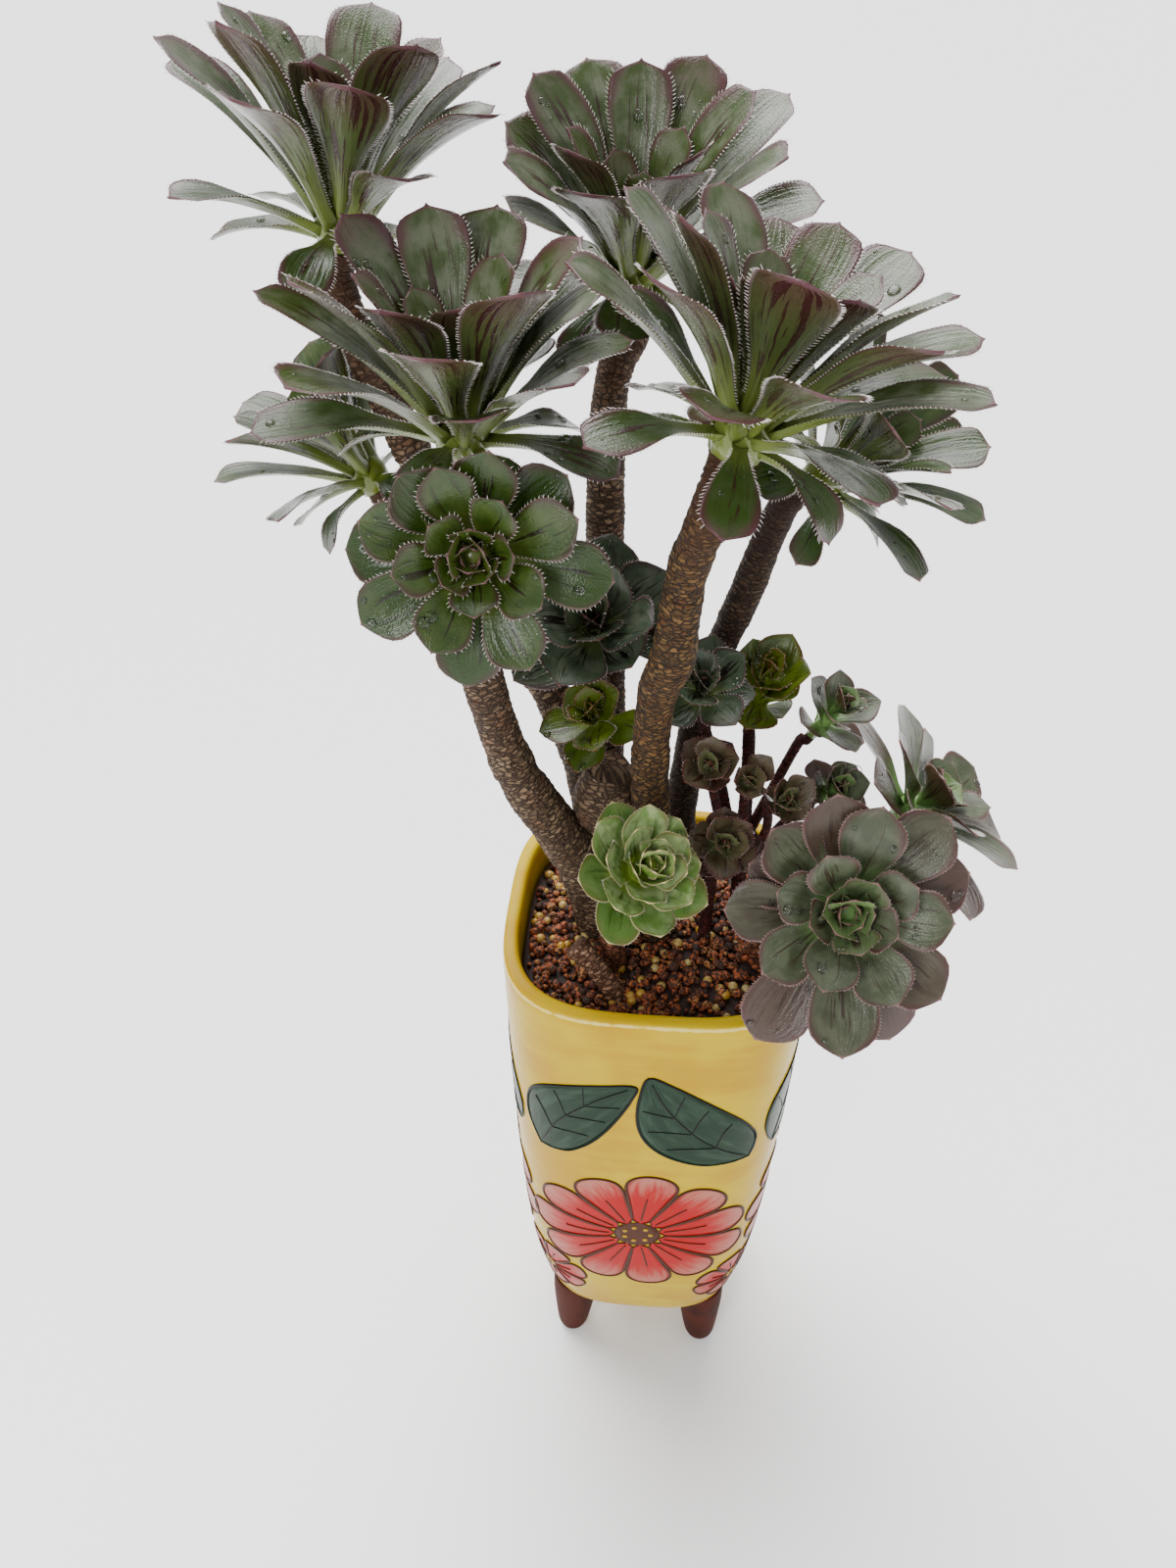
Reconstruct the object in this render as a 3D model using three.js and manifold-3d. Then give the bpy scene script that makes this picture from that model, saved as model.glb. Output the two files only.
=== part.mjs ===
// Potted aeonium: a branching succulent with eleven large rosettes and nine small offsets,
// growing from granular soil in a tall glazed pot of rounded square plan on four conical feet.
// Millimetres, +Z up, origin on the ground under the middle of the object.

import * as THREE from "three";
import { mergeVertices } from "three/addons/utils/BufferGeometryUtils.js";
import Module from "manifold-3d";

const wasm = await Module();
wasm.setup();

// Clearance between neighbouring pieces
const GAP = 0.3;

// Pot, with its wall and feet as [half-width or radius, height]
const POT_SIDES = 24;
const FOOT_SIDES = 8;
const SQUARENESS = 3.35;
const POT_OUTER = [
  [47.5, 48.0], [51.8, 54.0], [58.2, 92.0], [62.4, 155.0],
  [64.4, 235.0], [65.0, 300.0], [63.6, 306.6],
];
const POT_INNER = [
  [61.0, 308.0], [58.9, 305.5], [57.6, 240.0], [51.6, 100.0], [45.0, 60.0],
];
const FOOT_SPREAD_TOP = 34;
const FOOT_SPREAD_TIP = 36.5;
const FOOT_TOP_Z = 53;
const FOOT_PROFILE = [
  [0, 0], [4.4, 0], [7.2, 1.8], [9.0, 9.0], [12.6, 44.0], [12.2, 53.0], [0, 53.0],
];

// Soil
const SOIL_BOTTOM = 62;
const SOIL_LEVEL = 294;
const SOIL_WALL_HEIGHTS = [SOIL_BOTTOM, 100, 240, SOIL_LEVEL];
const SOIL_WALL_CLEARANCE = 1.3 * GAP;
const SOIL_RINGS = [46, 32, 16];
const MOUND_HEIGHT = 3;
const MOUND_AT = [-6, 4];
const MOUND_SPREAD = 30;
const GRAIN_HEIGHT = 1.1;
// Round grains that lie half sunk on the soil
const PRILL_COUNT = 7;
const PRILL_REACH = 52;
const PRILL_RADIUS = 2.4;
const PRILL_VARIES = 0.7;
const PRILL_RAISED = 0.35;

// Rosettes: foot of the rosette, direction it faces, length of its longest leaf, number of leaves,
// height and radius of the short shoot inside, how far the lowest leaf opens, turn, kind of leaf,
// and where it is taller than wide by how much
const HEADS = {
  head_upper_left: head([-113, 35, 562], [0.16, 0, 1], 61, 31, 17, 7, 98, 20, "spoon"),
  head_upper_back: head([-20, 66, 541], [0.02, -0.3, 0.95], 62, 31, 19, 7, 94, 75, "spoon"),
  head_front_left: head([-67, -22, 519], [0.04, -0.08, 1], 61, 37, 19, 7.5, 112, 176, "spoon"),
  head_front_right: head([13, -50, 534], [0.24, -0.02, 0.96], 56, 42, 19, 7.5, 120, 222, "spoon"),
  head_right: head([43, 14, 496], [0.62, -0.3, 0.7], 48, 24, 16, 6.5, 102, 0, "spoon"),
  head_left: head([-110, 34, 481], [-0.5, -0.02, 0.86], 50, 24, 15, 6, 110, 300, "spoon"),
  head_low_left: head([-57, -58, 506], [0.02, -0.93, 0.36], 34, 23, 14, 6, 88, 40, "round"),
  head_middle: head([-28, 2, 441], [-0.02, -0.56, 0.8], 31, 15, 13, 5, 80, 10, "leafy"),
  head_soil_green: head([-14, -34, 355], [0.36, -0.5, 0.78], 26, 24, 28, 6, 66, 120, "cup"),
  head_low_right: head([68, -36, 350], [0.02, -0.8, 0.6], 47, 26, 18, 7, 92, 95, "round", 0.16),
  head_far_right: head([100, 26, 342], [0.66, 0.02, 0.7], 52, 18, 16, 6, 84, 33, "round"),
  offset_olive: head([33, 27, 392], [0.15, -0.3, 0.94], 26, 12, 28, 3, 72, 15, "leafy"),
  offset_dark: head([12, 11, 408], [0, -0.45, 0.88], 22, 10, 15, 2.6, 70, 200, "leafy"),
  offset_grey: head([57, 20, 389], [0.4, -0.25, 0.88], 20, 11, 22, 2.4, 72, 60, "leafy"),
  offset_grey_low: head([62, 7, 368], [0.35, -0.5, 0.78], 18, 9, 15, 2.4, 70, 100, "leafy"),
  offset_plum_one: head([17, -3, 386], [-0.05, -0.6, 0.8], 17, 9, 9, 2.2, 66, 31, "leafy"),
  offset_plum_two: head([31, -5, 381], [0.05, -0.6, 0.8], 15, 7, 8, 2, 66, 222, "leafy"),
  offset_plum_three: head([43, -8, 374], [0.2, -0.6, 0.78], 18, 8, 12, 2.2, 66, 130, "leafy"),
  offset_soil_plum: head([23, -16, 361], [0.1, -0.72, 0.68], 18, 11, 8, 2.8, 76, 77, "leafy"),
  offset_green: head([-26, 14, 392], [-0.25, -0.45, 0.86], 22, 11, 12, 2.8, 76, 310, "leafy"),
};

// Kinds of leaf: widest half-width as a share of the longest leaf, the width that the shortest
// leaf would have as a share of that, length of the innermost leaf,
// share of the leaves over which length grows, how opening grows from the middle outwards, bend of
// inner and outer leaves, length of the last leaves, opening of the innermost, depth of the bowl,
// and the outline from root to tip as [share of length, share of the widest half-width]
const KINDS = {
  spoon: {
    wide: 0.19, narrow: 0.2, first: 0.34, full: 0.42, power: 1, bend: [16, 34], last: 0.56, inner: 6,
    bowl: 0.58,
    shape: [[0, 0.34], [0.16, 0.27], [0.36, 0.42], [0.56, 0.74], [0.74, 0.97], [0.85, 1], [0.94, 0.9],
      [0.985, 0.6], [1, 0.08]],
  },
  round: {
    wide: 0.285, narrow: 0.46, first: 0.26, full: 0.9, power: 0.8, bend: [6, 22], last: 1, inner: 8, bowl: 1,
    shape: [[0, 0.36], [0.16, 0.34], [0.36, 0.58], [0.56, 0.88], [0.72, 1], [0.84, 0.93], [0.93, 0.66],
      [0.98, 0.33], [1, 0.05]],
  },
  cup: {
    wide: 0.37, narrow: 0.3, first: 0.45, full: 0.8, power: 0.9, bend: [-14, 6], last: 1, inner: 10, bowl: 1,
    shape: [[0, 0.5], [0.2, 0.6], [0.4, 0.86], [0.6, 1], [0.76, 0.96], [0.88, 0.76], [0.95, 0.5],
      [0.985, 0.25], [1, 0.04]],
  },
  leafy: {
    wide: 0.4, narrow: 0.3, first: 0.5, full: 0.5, power: 0.75, bend: [4, 18], last: 0.95, inner: 8, bowl: 1,
    shape: [[0, 0.4], [0.16, 0.42], [0.36, 0.7], [0.56, 0.95], [0.68, 1], [0.82, 0.82], [0.92, 0.5],
      [0.98, 0.2], [1, 0.04]],
  },
};
const GOLDEN_ANGLE = 137.508;
// Short shoot inside a rosette: [share of its radius, share of its height]
const SHOOT_SIDES = 5;
const SHOOT_PROFILE = [[1, 0], [1.2, 0.45], [0.55, 1], [0, 1]];
// Roots of the leaves: how deep they are sunk into the shoot, the height of the lowest as a share
// of the shoot's radius, the part of its height that they cover, and how far a root may open
const LEAF_SUNK = 1.6;
const LOWEST_ROOT = 0.45;
const ROOTS_COVER = 0.92;
const LEAF_ROOT_OPEN = 84;
// From this share of the leaves on, over this share, the lowest leaves open fully
const LOW_FROM = 0.68;
const LOW_OVER = 0.28;
// Small irregularity of azimuth, opening, bend and roll in degrees, and of length as a share
const AZIMUTH_VARIES = 4;
const OPEN_VARIES = 2.5;
const BEND_VARIES = 3;
const ROLL_VARIES = 6;
const LENGTH_VARIES = 0.05;
// Blade: steps along its curve, how the bend grows towards the tip, rise of the edges above the
// middle at root and tip as a share of the half-width
const LEAF_STEPS = 40;
const BEND_POWER = 1.4;
const TROUGH_AT_ROOT = 0.38;
const TROUGH_AT_TIP = 0.1;
// Keel under the blade, its smaller size at the root, and the seat of the root's upper face
const KEEL_SHARE = 0.026;
const KEEL_MORE = 0.5;
const LEAF_ROOT_SHARE = 0.3;
const ROOT_SEAT = 0.2;
const LEAF_STATIONS = [0, 0.5, 0.87, 1];
const SMALL_LEAF_STATIONS = [0, 0.66, 1];
const SMALL_REACH = 22;
const INNERMOST = 0.2;
// Clearance of the leaves from the planes between rosettes, from the stems and from the pot
const CLEAR_STATIONS = [0.35, 0.5, 0.65, 0.8, 0.92, 1];
const PARTING_CLEARANCE = 0.5;
const STEM_CLEARANCE = 1.8;
const STEEPEST = 4;
const OVER_POT = { halfWidth: 69, height: 312 };
const MIDDLE_OF_ROSETTE = 0.38;

// Small changes of opening (degrees) and length that a leaf may take to stay clear of its neighbours
const ADJUSTMENTS = [
  [0, 1], [-6, 1], [6, 1], [0, 0.9], [-6, 0.9], [6, 0.9], [-12, 1], [12, 1], [0, 0.8],
  [-12, 0.8], [12, 0.8], [-20, 0.9], [20, 0.9], [0, 0.7], [-14, 0.7], [14, 0.7], [-26, 0.8],
  [26, 0.8], [0, 0.6], [-20, 0.6], [20, 0.6], [0, 0.5], [-30, 0.6], [30, 0.6], [-25, 0.5],
  [25, 0.5], [-45, 0.6],
];

// Share by which the bark's radius varies, and steps per span when leaves are kept clear of it
const BARK_RELIEF = 0.05;
const CLEAR_STEPS = 4;
// Straight run of a branch into its rosette: a share of its radius, at least so long, a little thicker
const NECK_SHARE = 2.2;
const NECK_LEAST = 5;
const NECK_THICKER = 1.02;

// Stems: branches of one plant are one piece. A branch names the rosette it carries, its radius
// there, and the points [x, y, z, radius] it passes through from the ground up.
const STEMS = {
  trunk: { sides: 7, branches: [
    ["head_front_left", 6.6, [[-24, 2, 284, 11.5], [-30, 1, 324, 11.5], [-43, -5, 354, 9.8],
      [-58, -11, 390, 8.2], [-67, -16, 434, 7.3], [-68, -20, 480, 7.2]]],
    ["head_low_left", 5.2, [[-66, -17, 456, 5], [-66, -30, 474, 5.2], [-60, -43, 492, 5.2]]],
    ["head_upper_left", 6.4, [[-26, 4, 310, 9], [-31, 16, 360, 8.8], [-47, 24, 400, 7.6],
      [-73, 31, 440, 7], [-98, 34, 500, 6.6]]],
    ["head_left", 5.2, [[-84, 31, 462, 5], [-97, 34, 474, 5]]],
    ["head_upper_back", 6.2, [[-26, 6, 312, 8.5], [-26, 24, 362, 9], [-28, 43, 440, 7.6],
      [-27, 55, 510, 6.6]]],
    ["head_middle", 4.4, [[-27, 30, 392, 4], [-31, 18, 420, 4.2]]],
    ["offset_green", 2.6, [[-31, 12, 362, 2.6], [-26, 17, 384, 2.6]]],
    [null, 5, [[-27, 8, 345, 9], [-24, 3, 366, 12.5], [-22, 1, 382, 8.5]]],
  ] },
  stem_front: { sides: 8, branches: [
    ["head_front_right", 6.4, [[0, -2, 284, 8], [-4, -7, 350, 7.6], [-6, -13, 392, 7],
      [-5, -20, 432, 6.8], [0, -28, 455, 7.2], [3, -37, 492, 6.4]]],
  ] },
  stem_right: { sides: 8, branches: [
    ["head_right", 5.4, [[8, 24, 284, 7], [8, 29, 350, 6.6], [14, 33, 400, 6.2], [26, 32, 444, 6]]],
  ] },
  stem_offsets: { sides: 4, branches: [
    ["offset_olive", 2.2, [[34, 10, 284, 3.2], [34, 14, 340, 3], [33, 24, 380, 2.6]]],
    ["offset_dark", 2.1, [[34, 11, 310, 2.4], [24, 16, 360, 2.3], [13, 19, 395, 2.2]]],
    ["offset_grey", 2.1, [[34, 13, 334, 2.4], [45, 20, 362, 2.2], [53, 22, 384, 2.1]]],
    ["offset_grey_low", 2, [[34, 12, 322, 2.3], [50, 14, 346, 2.2], [58, 13, 362, 2.1]]],
    ["offset_plum_one", 1.9, [[34, 10, 318, 2.2], [24, 6, 350, 2], [18, 3, 376, 1.9]]],
    ["offset_plum_two", 1.8, [[34, 10, 326, 2.1], [33, 5, 352, 1.9], [31, 1, 374, 1.8]]],
    ["offset_plum_three", 1.9, [[34, 10, 322, 2.2], [42, 6, 348, 2], [41, 1, 368, 1.9]]],
  ] },
  stem_soil_plum: { sides: 5, branches: [
    ["offset_soil_plum", 2.4, [[20, -2, 284, 3], [21, -3, 325, 2.6], [22, -7, 347, 2.5]]],
  ] },
  stem_soil_green: { sides: 7, branches: [
    ["head_soil_green", 5.2, [[-17, -22, 284, 5.4], [-19, -24, 320, 5.2], [-19, -27, 342, 5.2]]],
  ] },
  stem_low_right: { sides: 7, branches: [
    ["head_low_right", 6.2, [[46, -14, 284, 6.6], [47, -13, 318, 6.4], [62, -16, 336, 6.2]]],
    ["head_far_right", 5.2, [[47, -13, 310, 5], [58, 2, 326, 5], [80, 17, 334, 5]]],
  ] },
  stump: { sides: 7, branches: [
    [null, 5.6, [[-13, -38, 284, 5], [-18, -38, 297, 4.6], [-26, -35, 308, 4.5], [-33, -32, 315, 4.8]]],
  ] },
};

const COLOURS = {
  pot: [0xd9bd3c, 0.25],
  soil: [0x5a3423, 0.95],
  trunk: [0x8a7157, 0.85],
  stem_front: [0xa58a5c, 0.85],
  stem_right: [0x5d4a3a, 0.85],
  stem_offsets: [0x6a2f2c, 0.7],
  stem_soil_plum: [0x6a3a33, 0.7],
  stem_soil_green: [0x84573f, 0.85],
  stem_low_right: [0x7b4a3a, 0.8],
  stump: [0x7d5240, 0.9],
  head_upper_left: [0x5c6c5e, 0.45],
  head_upper_back: [0x586a5c, 0.45],
  head_front_left: [0x5e6e62, 0.45],
  head_front_right: [0x5c6a5c, 0.45],
  head_right: [0x47603f, 0.45],
  head_left: [0x465f46, 0.45],
  head_low_left: [0x3d5636, 0.42],
  head_middle: [0x43574c, 0.45],
  head_soil_green: [0x6d9248, 0.35],
  head_low_right: [0x66605a, 0.42],
  head_far_right: [0x6b625e, 0.42],
  offset_olive: [0x5f7030, 0.45],
  offset_dark: [0x4c5048, 0.45],
  offset_grey: [0x6b6360, 0.45],
  offset_grey_low: [0x62605a, 0.45],
  offset_plum_one: [0x5b4a46, 0.45],
  offset_plum_two: [0x55504a, 0.45],
  offset_plum_three: [0x574b47, 0.45],
  offset_soil_plum: [0x544548, 0.45],
  offset_green: [0x55702f, 0.45],
};

function head(base, axis, reach, count, core, thick, open, turn, kind, taller = 0) {
  const foot = new THREE.Vector3(...base);
  const direction = new THREE.Vector3(...axis).normalize();
  return { base: foot, axis: direction, reach, count, core, thick, open, turn, kind, taller };
}

function lerp(a, b, t) {
  return a + (b - a) * t;
}

function smooth(t) {
  const c = Math.min(1, Math.max(0, t));
  return c * c * (3 - 2 * c);
}

// Repeatable small irregularity between -1 and 1
function wobble(a, b, c) {
  const x = Math.sin(a * 12.9898 + b * 78.233 + c * 37.719) * 43758.5453;
  return (x - Math.floor(x)) * 2 - 1;
}

function radians(degrees) {
  return degrees * Math.PI / 180;
}

function along(point, direction, distance) {
  return point.clone().addScaledVector(direction, distance);
}

// A geometry with shared corners and nothing but its positions
function bare(geometry) {
  const plain = geometry.index ? geometry.toNonIndexed() : geometry.clone();
  plain.deleteAttribute("normal");
  plain.deleteAttribute("uv");
  return mergeVertices(plain, 1e-4);
}

// Positions of a geometry, each replaced by what the rule gives for it
function reshape(geometry, rule) {
  const position = geometry.attributes.position;
  const p = new THREE.Vector3();
  for (let i = 0; i < position.count; i += 1) {
    p.fromBufferAttribute(position, i);
    const q = rule(p);
    position.setXYZ(i, q.x, q.y, q.z);
  }
  return geometry;
}

function solid(geometry) {
  const plain = bare(geometry);
  return new wasm.Manifold(new wasm.Mesh({
    numProp: 3,
    vertProperties: new Float32Array(plain.attributes.position.array),
    triVerts: new Uint32Array(plain.index.array),
  }));
}

// Solids joined in pairs, then the pairs in pairs
function fuse(solids) {
  let level = solids;
  while (level.length > 1) {
    const next = [];
    for (let i = 0; i < level.length; i += 2) {
      next.push(i + 1 < level.length ? level[i].add(level[i + 1]) : level[i]);
    }
    level = next;
  }
  return level[0];
}

function geometryOf(manifold) {
  const mesh = manifold.getMesh();
  const geometry = new THREE.BufferGeometry();
  geometry.setAttribute("position", new THREE.BufferAttribute(new Float32Array(mesh.vertProperties), 3));
  geometry.setIndex(new THREE.BufferAttribute(new Uint32Array(mesh.triVerts), 1));
  geometry.computeVertexNormals();
  return geometry;
}

function named(name, manifold) {
  const [colour, roughness] = COLOURS[name];
  const material = new THREE.MeshStandardMaterial({ color: colour, roughness, metalness: 0 });
  const mesh = new THREE.Mesh(geometryOf(manifold), material);
  mesh.name = name;
  return mesh;
}

// Lathe turned about +Z whose round plan is pressed towards a square
function squareTurned(profile, squareness) {
  const points = profile.map(([r, z]) => new THREE.Vector2(r, z));
  const lathe = new THREE.LatheGeometry(points, POT_SIDES);
  lathe.rotateX(Math.PI / 2);
  return reshape(lathe, (p) => {
    const r = Math.hypot(p.x, p.y);
    if (r < 1e-6) {
      return p;
    }
    const c = Math.abs(p.x / r);
    const s = Math.abs(p.y / r);
    const k = (c ** squareness + s ** squareness) ** (-1 / squareness);
    return new THREE.Vector3(p.x * k, p.y * k, p.z);
  });
}

function makePot() {
  const outer = [[0, POT_OUTER[0][1]], ...POT_OUTER, ...POT_INNER, [0, POT_INNER.at(-1)[1]]];
  const pieces = [solid(squareTurned(outer, SQUARENESS))];
  for (const [sx, sy] of [[1, 1], [-1, 1], [-1, -1], [1, -1]]) {
    const points = FOOT_PROFILE.map(([r, z]) => new THREE.Vector2(r, z));
    const foot = new THREE.LatheGeometry(points, FOOT_SIDES);
    foot.rotateX(Math.PI / 2);
    reshape(foot, (p) => {
      const spread = lerp(FOOT_SPREAD_TIP, FOOT_SPREAD_TOP, p.z / FOOT_TOP_Z);
      return new THREE.Vector3(p.x + sx * spread, p.y + sy * spread, p.z);
    });
    pieces.push(solid(foot));
  }
  return fuse(pieces);
}

// Half-width of the pot's inside at a height, less the clearance
function insideAt(z) {
  const wall = POT_INNER;
  for (let i = 1; i < wall.length; i += 1) {
    const [r0, z0] = wall[i - 1];
    const [r1, z1] = wall[i];
    if (z <= z0 && z >= z1) {
      return lerp(r1, r0, (z - z1) / (z0 - z1)) - SOIL_WALL_CLEARANCE;
    }
  }
  return wall.at(-1)[0] - SOIL_WALL_CLEARANCE;
}

function soilHeight(x, y) {
  const away = Math.hypot(x - MOUND_AT[0], y - MOUND_AT[1]) / MOUND_SPREAD;
  const mound = MOUND_HEIGHT * Math.exp(-(away ** 2));
  const grain = GRAIN_HEIGHT * wobble(Math.round(x), Math.round(y), 4);
  return SOIL_LEVEL + mound + grain;
}

function makeSoil(holes) {
  const wall = SOIL_WALL_HEIGHTS.map((z) => [insideAt(z), z]);
  const top = [...SOIL_RINGS, 0].map((r) => [r, SOIL_LEVEL + 1]);
  const block = squareTurned([[0, SOIL_BOTTOM], ...wall, ...top], SQUARENESS);
  reshape(block, (p) => new THREE.Vector3(p.x, p.y, p.z > SOIL_LEVEL ? soilHeight(p.x, p.y) : p.z));
  const pieces = [solid(block)];
  for (let i = 0; i < PRILL_COUNT; i += 1) {
    const angle = radians(i * GOLDEN_ANGLE);
    const r = PRILL_REACH * Math.sqrt((i + 0.5) / PRILL_COUNT);
    const x = r * Math.cos(angle);
    const y = r * Math.sin(angle);
    const size = PRILL_RADIUS + PRILL_VARIES * wobble(i, 3, 9);
    const seat = new THREE.Vector3(x, y, soilHeight(x, y));
    if (!clearOfStems(seat, size + 1)) {
      continue;
    }
    const prill = new THREE.IcosahedronGeometry(size, 0);
    prill.rotateX(i);
    prill.rotateZ(i * 2);
    prill.translate(seat.x, seat.y, seat.z + PRILL_RAISED * size);
    pieces.push(solid(prill));
  }
  let ground = fuse(pieces);
  for (const hole of holes) {
    ground = ground.subtract(hole);
  }
  return ground;
}

// Smooth curve with radius through points [x, y, z, radius]
function curveThrough(points, per) {
  const out = [];
  for (let i = 0; i < points.length - 1; i += 1) {
    const a = points[Math.max(0, i - 1)];
    const b = points[i];
    const c = points[i + 1];
    const d = points[Math.min(points.length - 1, i + 2)];
    for (let q = 0; q < per; q += 1) {
      const t = q / per;
      out.push(b.map((value, j) => 0.5 * (2 * value + (c[j] - a[j]) * t
        + (2 * a[j] - 5 * value + 4 * c[j] - d[j]) * t * t
        + (3 * value - a[j] - 3 * c[j] + d[j]) * t * t * t)));
    }
  }
  out.push(points.at(-1).slice());
  return out;
}

function branchPoints([carried, radius, points]) {
  if (!carried) {
    return points;
  }
  const { base, axis } = HEADS[carried];
  const neck = Math.max(NECK_SHARE * radius, NECK_LEAST);
  const before = along(base, axis, -GAP - neck);
  const end = along(base, axis, -GAP);
  return [...points, [...before.toArray(), radius * NECK_THICKER], [...end.toArray(), radius]];
}

// Round bar along a branch. More than zero in grow gives the hole that it stands in.
function branchSolid(branch, sides, per, grow) {
  const line = curveThrough(branchPoints(branch), per);
  const last = line.length - 1;
  const centres = line.map(([x, y, z]) => new THREE.Vector3(x, y, z));
  const frames = [];
  let side = new THREE.Vector3(1, 0, 0);
  for (let i = 0; i <= last; i += 1) {
    const ahead = centres[Math.min(last, i + 1)];
    const behind = centres[Math.max(0, i - 1)];
    let forward = ahead.clone().sub(behind).normalize();
    if (i === last && branch[0]) {
      forward = HEADS[branch[0]].axis.clone();
    }
    if (i === 0) {
      forward = new THREE.Vector3(0, 0, 1);
    }
    side = side.clone().addScaledVector(forward, -side.dot(forward)).normalize();
    frames.push([side, forward.clone().cross(side)]);
  }
  const bar = new THREE.CylinderGeometry(1, 1, 1, sides, last, false);
  reshape(bar, (p) => {
    const i = Math.round((p.y + 0.5) * last);
    const [u, v] = frames[i];
    const relief = i === 0 || i === last ? 1 : 1 + BARK_RELIEF * wobble(i, line[i][3], 6);
    const r = line[i][3] * relief + grow;
    const q = centres[i].clone().addScaledVector(u, -r * p.x).addScaledVector(v, r * p.z);
    if (i === 0) {
      q.z -= grow;
    }
    return q;
  });
  return solid(bar);
}

// Straight spans between two points of a branch
function spansOf(branch) {
  return branch[2].length > 3 ? 2 : 1;
}

function makeStem({ sides, branches }) {
  return fuse(branches.map((branch) => branchSolid(branch, sides, spansOf(branch), 0)));
}

function holeFor({ sides, branches }) {
  return branchSolid(branches[0], sides, spansOf(branches[0]), GAP);
}

// Directions of a rosette: two across it and one along its axis
function basis(axis) {
  const up = Math.abs(axis.y) < 0.95 ? new THREE.Vector3(0, 1, 0) : new THREE.Vector3(1, 0, 0);
  const e1 = up.cross(axis).normalize();
  return [e1, axis.clone().cross(e1), axis];
}

function widthAt(kind, s) {
  const { shape } = KINDS[kind];
  for (let i = 1; i < shape.length; i += 1) {
    const [a, wa] = shape[i - 1];
    const [b, wb] = shape[i];
    if (s <= b) {
      return lerp(wa, wb, (s - a) / (b - a));
    }
  }
  return shape.at(-1)[1];
}

// Where leaf i of rosette k starts, how long and wide it is, how far it opens and how it bends.
// Leaf 0 is the innermost; successive leaves turn by the golden angle.
function leafPlan(h, k, i) {
  const t = (i + 0.5) / h.count;
  const kind = KINDS[h.kind];
  const low = smooth((t - LOW_FROM) / LOW_OVER);
  const grown = lerp(kind.first, 1, smooth(t / kind.full)) * lerp(1, kind.last, low);
  const azimuth = radians(h.turn + i * GOLDEN_ANGLE + AZIMUTH_VARIES * wobble(k, i, 1));
  const oval = 1 - h.taller * Math.cos(2 * azimuth);
  const size = h.reach * grown * oval * (1 + LENGTH_VARIES * wobble(k, i, 2));
  const widest = h.open * lerp(kind.bowl, 1, low);
  const open = lerp(kind.inner, widest, t ** kind.power) + OPEN_VARIES * wobble(k, i, 3);
  const beyond = Math.max(0, open - LEAF_ROOT_OPEN);
  return {
    t,
    azimuth,
    size,
    open: open - beyond,
    bend: lerp(kind.bend[0], kind.bend[1], t) + BEND_VARIES * wobble(k, i, 4) + beyond,
    half: kind.wide * h.reach * lerp(kind.narrow, 1, Math.min(1, size / h.reach)),
    roll: radians(ROLL_VARIES * wobble(k, i, 5)),
  };
}

// Radius of the short shoot in a rosette at a height above its foot
function shootRadius(h, rise) {
  const y = rise / h.core;
  for (let i = 1; i < SHOOT_PROFILE.length; i += 1) {
    const [r0, y0] = SHOOT_PROFILE[i - 1];
    const [r1, y1] = SHOOT_PROFILE[i];
    if (y <= y1) {
      return h.thick * lerp(r0, r1, (y - y0) / (y1 - y0));
    }
  }
  return 0;
}

// Points down the middle of a leaf, with the directions across it and out of its upper face
function leafLine(h, plan, stations) {
  const [e1, e2, e3] = basis(h.axis);
  const out = e1.clone().multiplyScalar(Math.cos(plan.azimuth)).addScaledVector(e2, Math.sin(plan.azimuth));
  const side = e3.clone().cross(out);
  const low = LOWEST_ROOT * h.thick;
  const rise = low + (h.core - low) * (1 - plan.t) * ROOTS_COVER;
  let point = along(along(h.base, e3, rise), out, shootRadius(h, rise) - LEAF_SUNK);
  const path = [point];
  const angles = [];
  for (let q = 0; q < LEAF_STEPS; q += 1) {
    const s = (q + 0.5) / LEAF_STEPS;
    const angle = radians(plan.open + plan.bend * s ** BEND_POWER);
    angles.push(angle);
    const step = plan.size / LEAF_STEPS;
    point = along(along(point, out, Math.sin(angle) * step), e3, Math.cos(angle) * step);
    path.push(point);
  }
  return stations.map((s) => {
    const x = s * LEAF_STEPS;
    const q = Math.min(LEAF_STEPS - 1, Math.floor(x));
    const centre = path[q].clone().lerp(path[q + 1], x - q);
    const angle = angles[q];
    const upper = e3.clone().multiplyScalar(Math.sin(angle)).addScaledVector(out, -Math.cos(angle));
    const cos = Math.cos(plan.roll);
    const sin = Math.sin(plan.roll);
    return {
      centre,
      across: side.clone().multiplyScalar(cos).addScaledVector(upper, sin),
      upper: upper.clone().multiplyScalar(cos).addScaledVector(side, -sin),
    };
  });
}

// Left edge, right edge and middle of a leaf at each station; the edges stand above the middle
function leafOutline(h, plan, stations) {
  return leafLine(h, plan, stations).map(({ centre, across, upper }, j) => {
    const s = stations[j];
    const w = plan.half * widthAt(h.kind, s);
    const lift = w * lerp(TROUGH_AT_ROOT, TROUGH_AT_TIP, s);
    return {
      left: along(along(centre, across, w), upper, lift),
      right: along(along(centre, across, -w), upper, lift),
      centre,
      upper,
    };
  });
}

function middleOf(h) {
  return along(h.base, h.axis, MIDDLE_OF_ROSETTE * h.reach);
}

// Planes that part a rosette from each neighbour, nearer to the smaller one
function partings(name) {
  const own = HEADS[name];
  const middle = middleOf(own);
  const planes = [];
  for (const [other, h] of Object.entries(HEADS)) {
    const apart = middleOf(h).sub(middle);
    if (other !== name && apart.length() < own.reach + h.reach) {
      const share = own.reach / (own.reach + h.reach);
      planes.push({ normal: apart.clone().normalize(), at: along(middle, apart, share) });
    }
  }
  return planes;
}

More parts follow.
